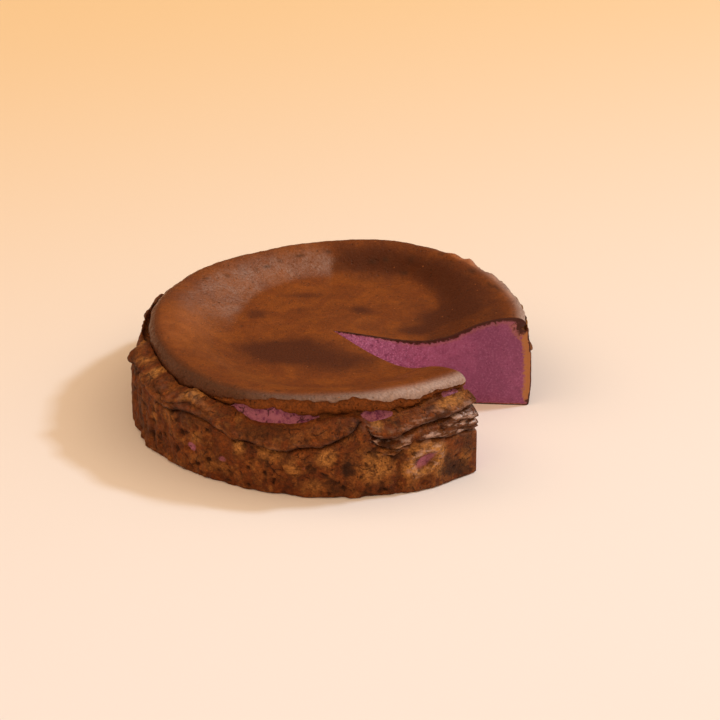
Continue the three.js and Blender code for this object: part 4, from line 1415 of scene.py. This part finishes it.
class CakeColours(PropertyGroup):
    """Colours of the baked crust and of the custard."""

    skin: colour_setting("Skin", "Top skin, baked chestnut brown", "#6C3007")
    skin_light: colour_setting("Light skin", "Where the top skin baked least", "#7E3D0A")
    # Pale skin and crumbs, and painted light on the left slope and the curls at the rear right.
    pale_skin_and_painted_light: colour_setting("Glowing skin", "Palest, most orange parts of the top", "#A65C2C")
    burnt_skin: colour_setting("Burnt skin", "Burnt clouds on the top", "#461702")
    rim: colour_setting("Rim", "Outer shoulder of the rim", "#4C2614")
    # Painted sheen: a pale colour standing in for the key light's reflection on the rim's shoulder
    # and the polished slope.
    painted_sheen: colour_setting("Dusty rim", "Where that shoulder is pale and dry", "#A28478")
    band: colour_setting("Band", "Fresh brown band below the torn skin", "#7C4018")
    side: colour_setting("Side", "Side crust", "#7A3D17")
    side_dark: colour_setting("Dark side", "Darker side crust", "#602A0F")
    # Golden: where the paper peeled, and painted light on the crests and at the rear right.
    golden: colour_setting("Golden", "Golden patches where the paper peeled", "#B0743A")
    amber: colour_setting("Amber", "Inside edge of the crust at the cut", "#B4743C")
    # Painted highlight: pale on the wrinkles of the wet folds and the ring of the bare spot.
    painted_highlight: colour_setting("Glaze", "Syrup that dried pale on the wet folds", "#C39A88")
    cut_skin: colour_setting("Cut skin", "Skin seen end on where the knife went", "#461808")
    smudge: colour_setting("Smudge", "Darker patches of the side", "#4A2713")
    # Char: burnt sugar, and painted shade in the cracks, pits and hollows.
    char: colour_setting("Char", "Burnt sugar in cracks and pits", "#2C1106")
    custard: colour_setting("Custard", "Purple yam custard", "#AA5A82")
    # Deep custard: darker towards the rim of the far face, and at random.
    custard_deep: colour_setting("Deep custard", "Denser custard", "#874267")
    # Pale grains, painted glints, and the painted light of the far face's middle.
    pale_grains_and_painted_light: colour_setting("Light custard", "Pale grains in the custard", "#E094C6")
    custard_shade: colour_setting("Shaded custard", "Small hollows in the custard", "#6E2C50")
    custard_dry: colour_setting("Dry custard", "Custard that shows in the side", "#A46074")


class StageSettings(PropertyGroup):
    """Camera, lights and background."""

    paper_front: colour_setting("Paper, front", "Background paper at the front", "#F3E6E1")
    paper_back: colour_setting("Paper, back", "Background paper at the back", "#EFC795")
    distance: FloatProperty(
        name="Camera distance",
        description="From the camera to the cake",
        default=1.4,
        min=0.3,
        unit="LENGTH",
    )
    elevation: FloatProperty(
        name="Camera elevation",
        description="How far above the table the camera looks from",
        default=math.radians(25.45),
        subtype="ANGLE",
    )
    key_power: FloatProperty(
        name="Key light", description="Power of the key light", default=108.0, min=0.0, unit="POWER"
    )
    fill: FloatProperty(
        name="Fill", description="Strength of the soft light from above", default=1.78, min=0.0
    )


# ---- Operators ---------------------------------------------------------------------------


class CHEESECAKE_OT_bake(Operator):
    """Build the cake: its baked crust and its two cut faces, as one closed mesh"""

    bl_idname = "cheesecake.bake"
    bl_label = "Bake Cheesecake"

    def execute(self, context):
        scene = context.scene
        vertices, faces, slots, masks = cake_mesh(scene.cake_sizes)
        colours = scene.cake_colours
        materials = [baked_skin(colours), torn_crust(colours), yam_custard(colours)]
        cake = new_piece("baked_cheesecake", vertices, faces, materials, slots, masks)
        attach(cake, "root")
        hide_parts("cheesecake")
        return {"FINISHED"}


class CHEESECAKE_OT_stage(Operator):
    """Lay the background paper and set up the lights and the camera"""

    bl_idname = "cheesecake.stage"
    bl_label = "Set Stage"

    def execute(self, context):
        scene = context.scene
        stage = scene.cake_stage

        half = PAPER_WIDTH / 2
        corners = np.array([[-half, -half, 0], [half, -half, 0], [half, half, 0], [-half, half, 0]])
        paper = new_piece("paper", corners, [[0, 1, 2, 3]], [sweep_paper(stage)])

        key = bpy.data.lights.new("key", "AREA")
        key.shape = "SQUARE"
        key.size = KEY_SIZE
        key.energy = stage.key_power
        key.color = KEY_COLOUR
        key_object = bpy.data.objects.new("key", key)
        towards = Vector(KEY_DIRECTION).normalized()
        key_object.location = towards * KEY_DISTANCE
        key_object.rotation_mode = "QUATERNION"
        key_object.rotation_quaternion = towards.to_track_quat("Z", "Y")
        scene.collection.objects.link(key_object)

        scene.world = warm_room(stage)
        scene.view_settings.view_transform = "Standard"

        camera = bpy.data.cameras.new("camera")
        camera.sensor_width = 36.0
        camera.lens = LENS
        camera.clip_start, camera.clip_end = 0.05, 30.0
        camera_object = bpy.data.objects.new("camera", camera)
        target = Vector(CAMERA_TARGET) * MM
        back = Vector((0, -math.cos(stage.elevation), math.sin(stage.elevation)))
        camera_object.location = target + back * stage.distance
        camera_object.rotation_mode = "QUATERNION"
        camera_object.rotation_quaternion = back.to_track_quat("Z", "Y")
        scene.collection.objects.link(camera_object)
        scene.camera = camera_object
        return {"FINISHED"}


class CHEESECAKE_PT_sidebar(Panel):
    """Lists the builders and their settings"""

    bl_label = "Cheesecake"
    bl_idname = "CHEESECAKE_PT_sidebar"
    bl_space_type = "VIEW_3D"
    bl_region_type = "UI"
    bl_category = "Cheesecake"

    def draw(self, context):
        scene = context.scene
        for settings in (scene.cake_sizes, scene.cake_colours, scene.cake_stage):
            box = self.layout.box()
            for name in type(settings).__annotations__:
                box.prop(settings, name)
        for operator in (CHEESECAKE_OT_bake, CHEESECAKE_OT_stage):
            self.layout.operator(operator.bl_idname)


CLASSES = (
    CakeSizes,
    CakeColours,
    StageSettings,
    CHEESECAKE_OT_bake,
    CHEESECAKE_OT_stage,
    CHEESECAKE_PT_sidebar,
)


def register():
    for cls in CLASSES:
        bpy.utils.register_class(cls)
    bpy.types.Scene.cake_sizes = PointerProperty(type=CakeSizes)
    bpy.types.Scene.cake_colours = PointerProperty(type=CakeColours)
    bpy.types.Scene.cake_stage = PointerProperty(type=StageSettings)


def unregister():
    del bpy.types.Scene.cake_stage
    del bpy.types.Scene.cake_colours
    del bpy.types.Scene.cake_sizes
    for cls in reversed(CLASSES):
        bpy.utils.unregister_class(cls)


def main():
    register()
    bpy.ops.cheesecake.bake()
    bpy.ops.cheesecake.stage()
    bpy.context.view_layer.update()


if __name__ == "__main__":
    main()
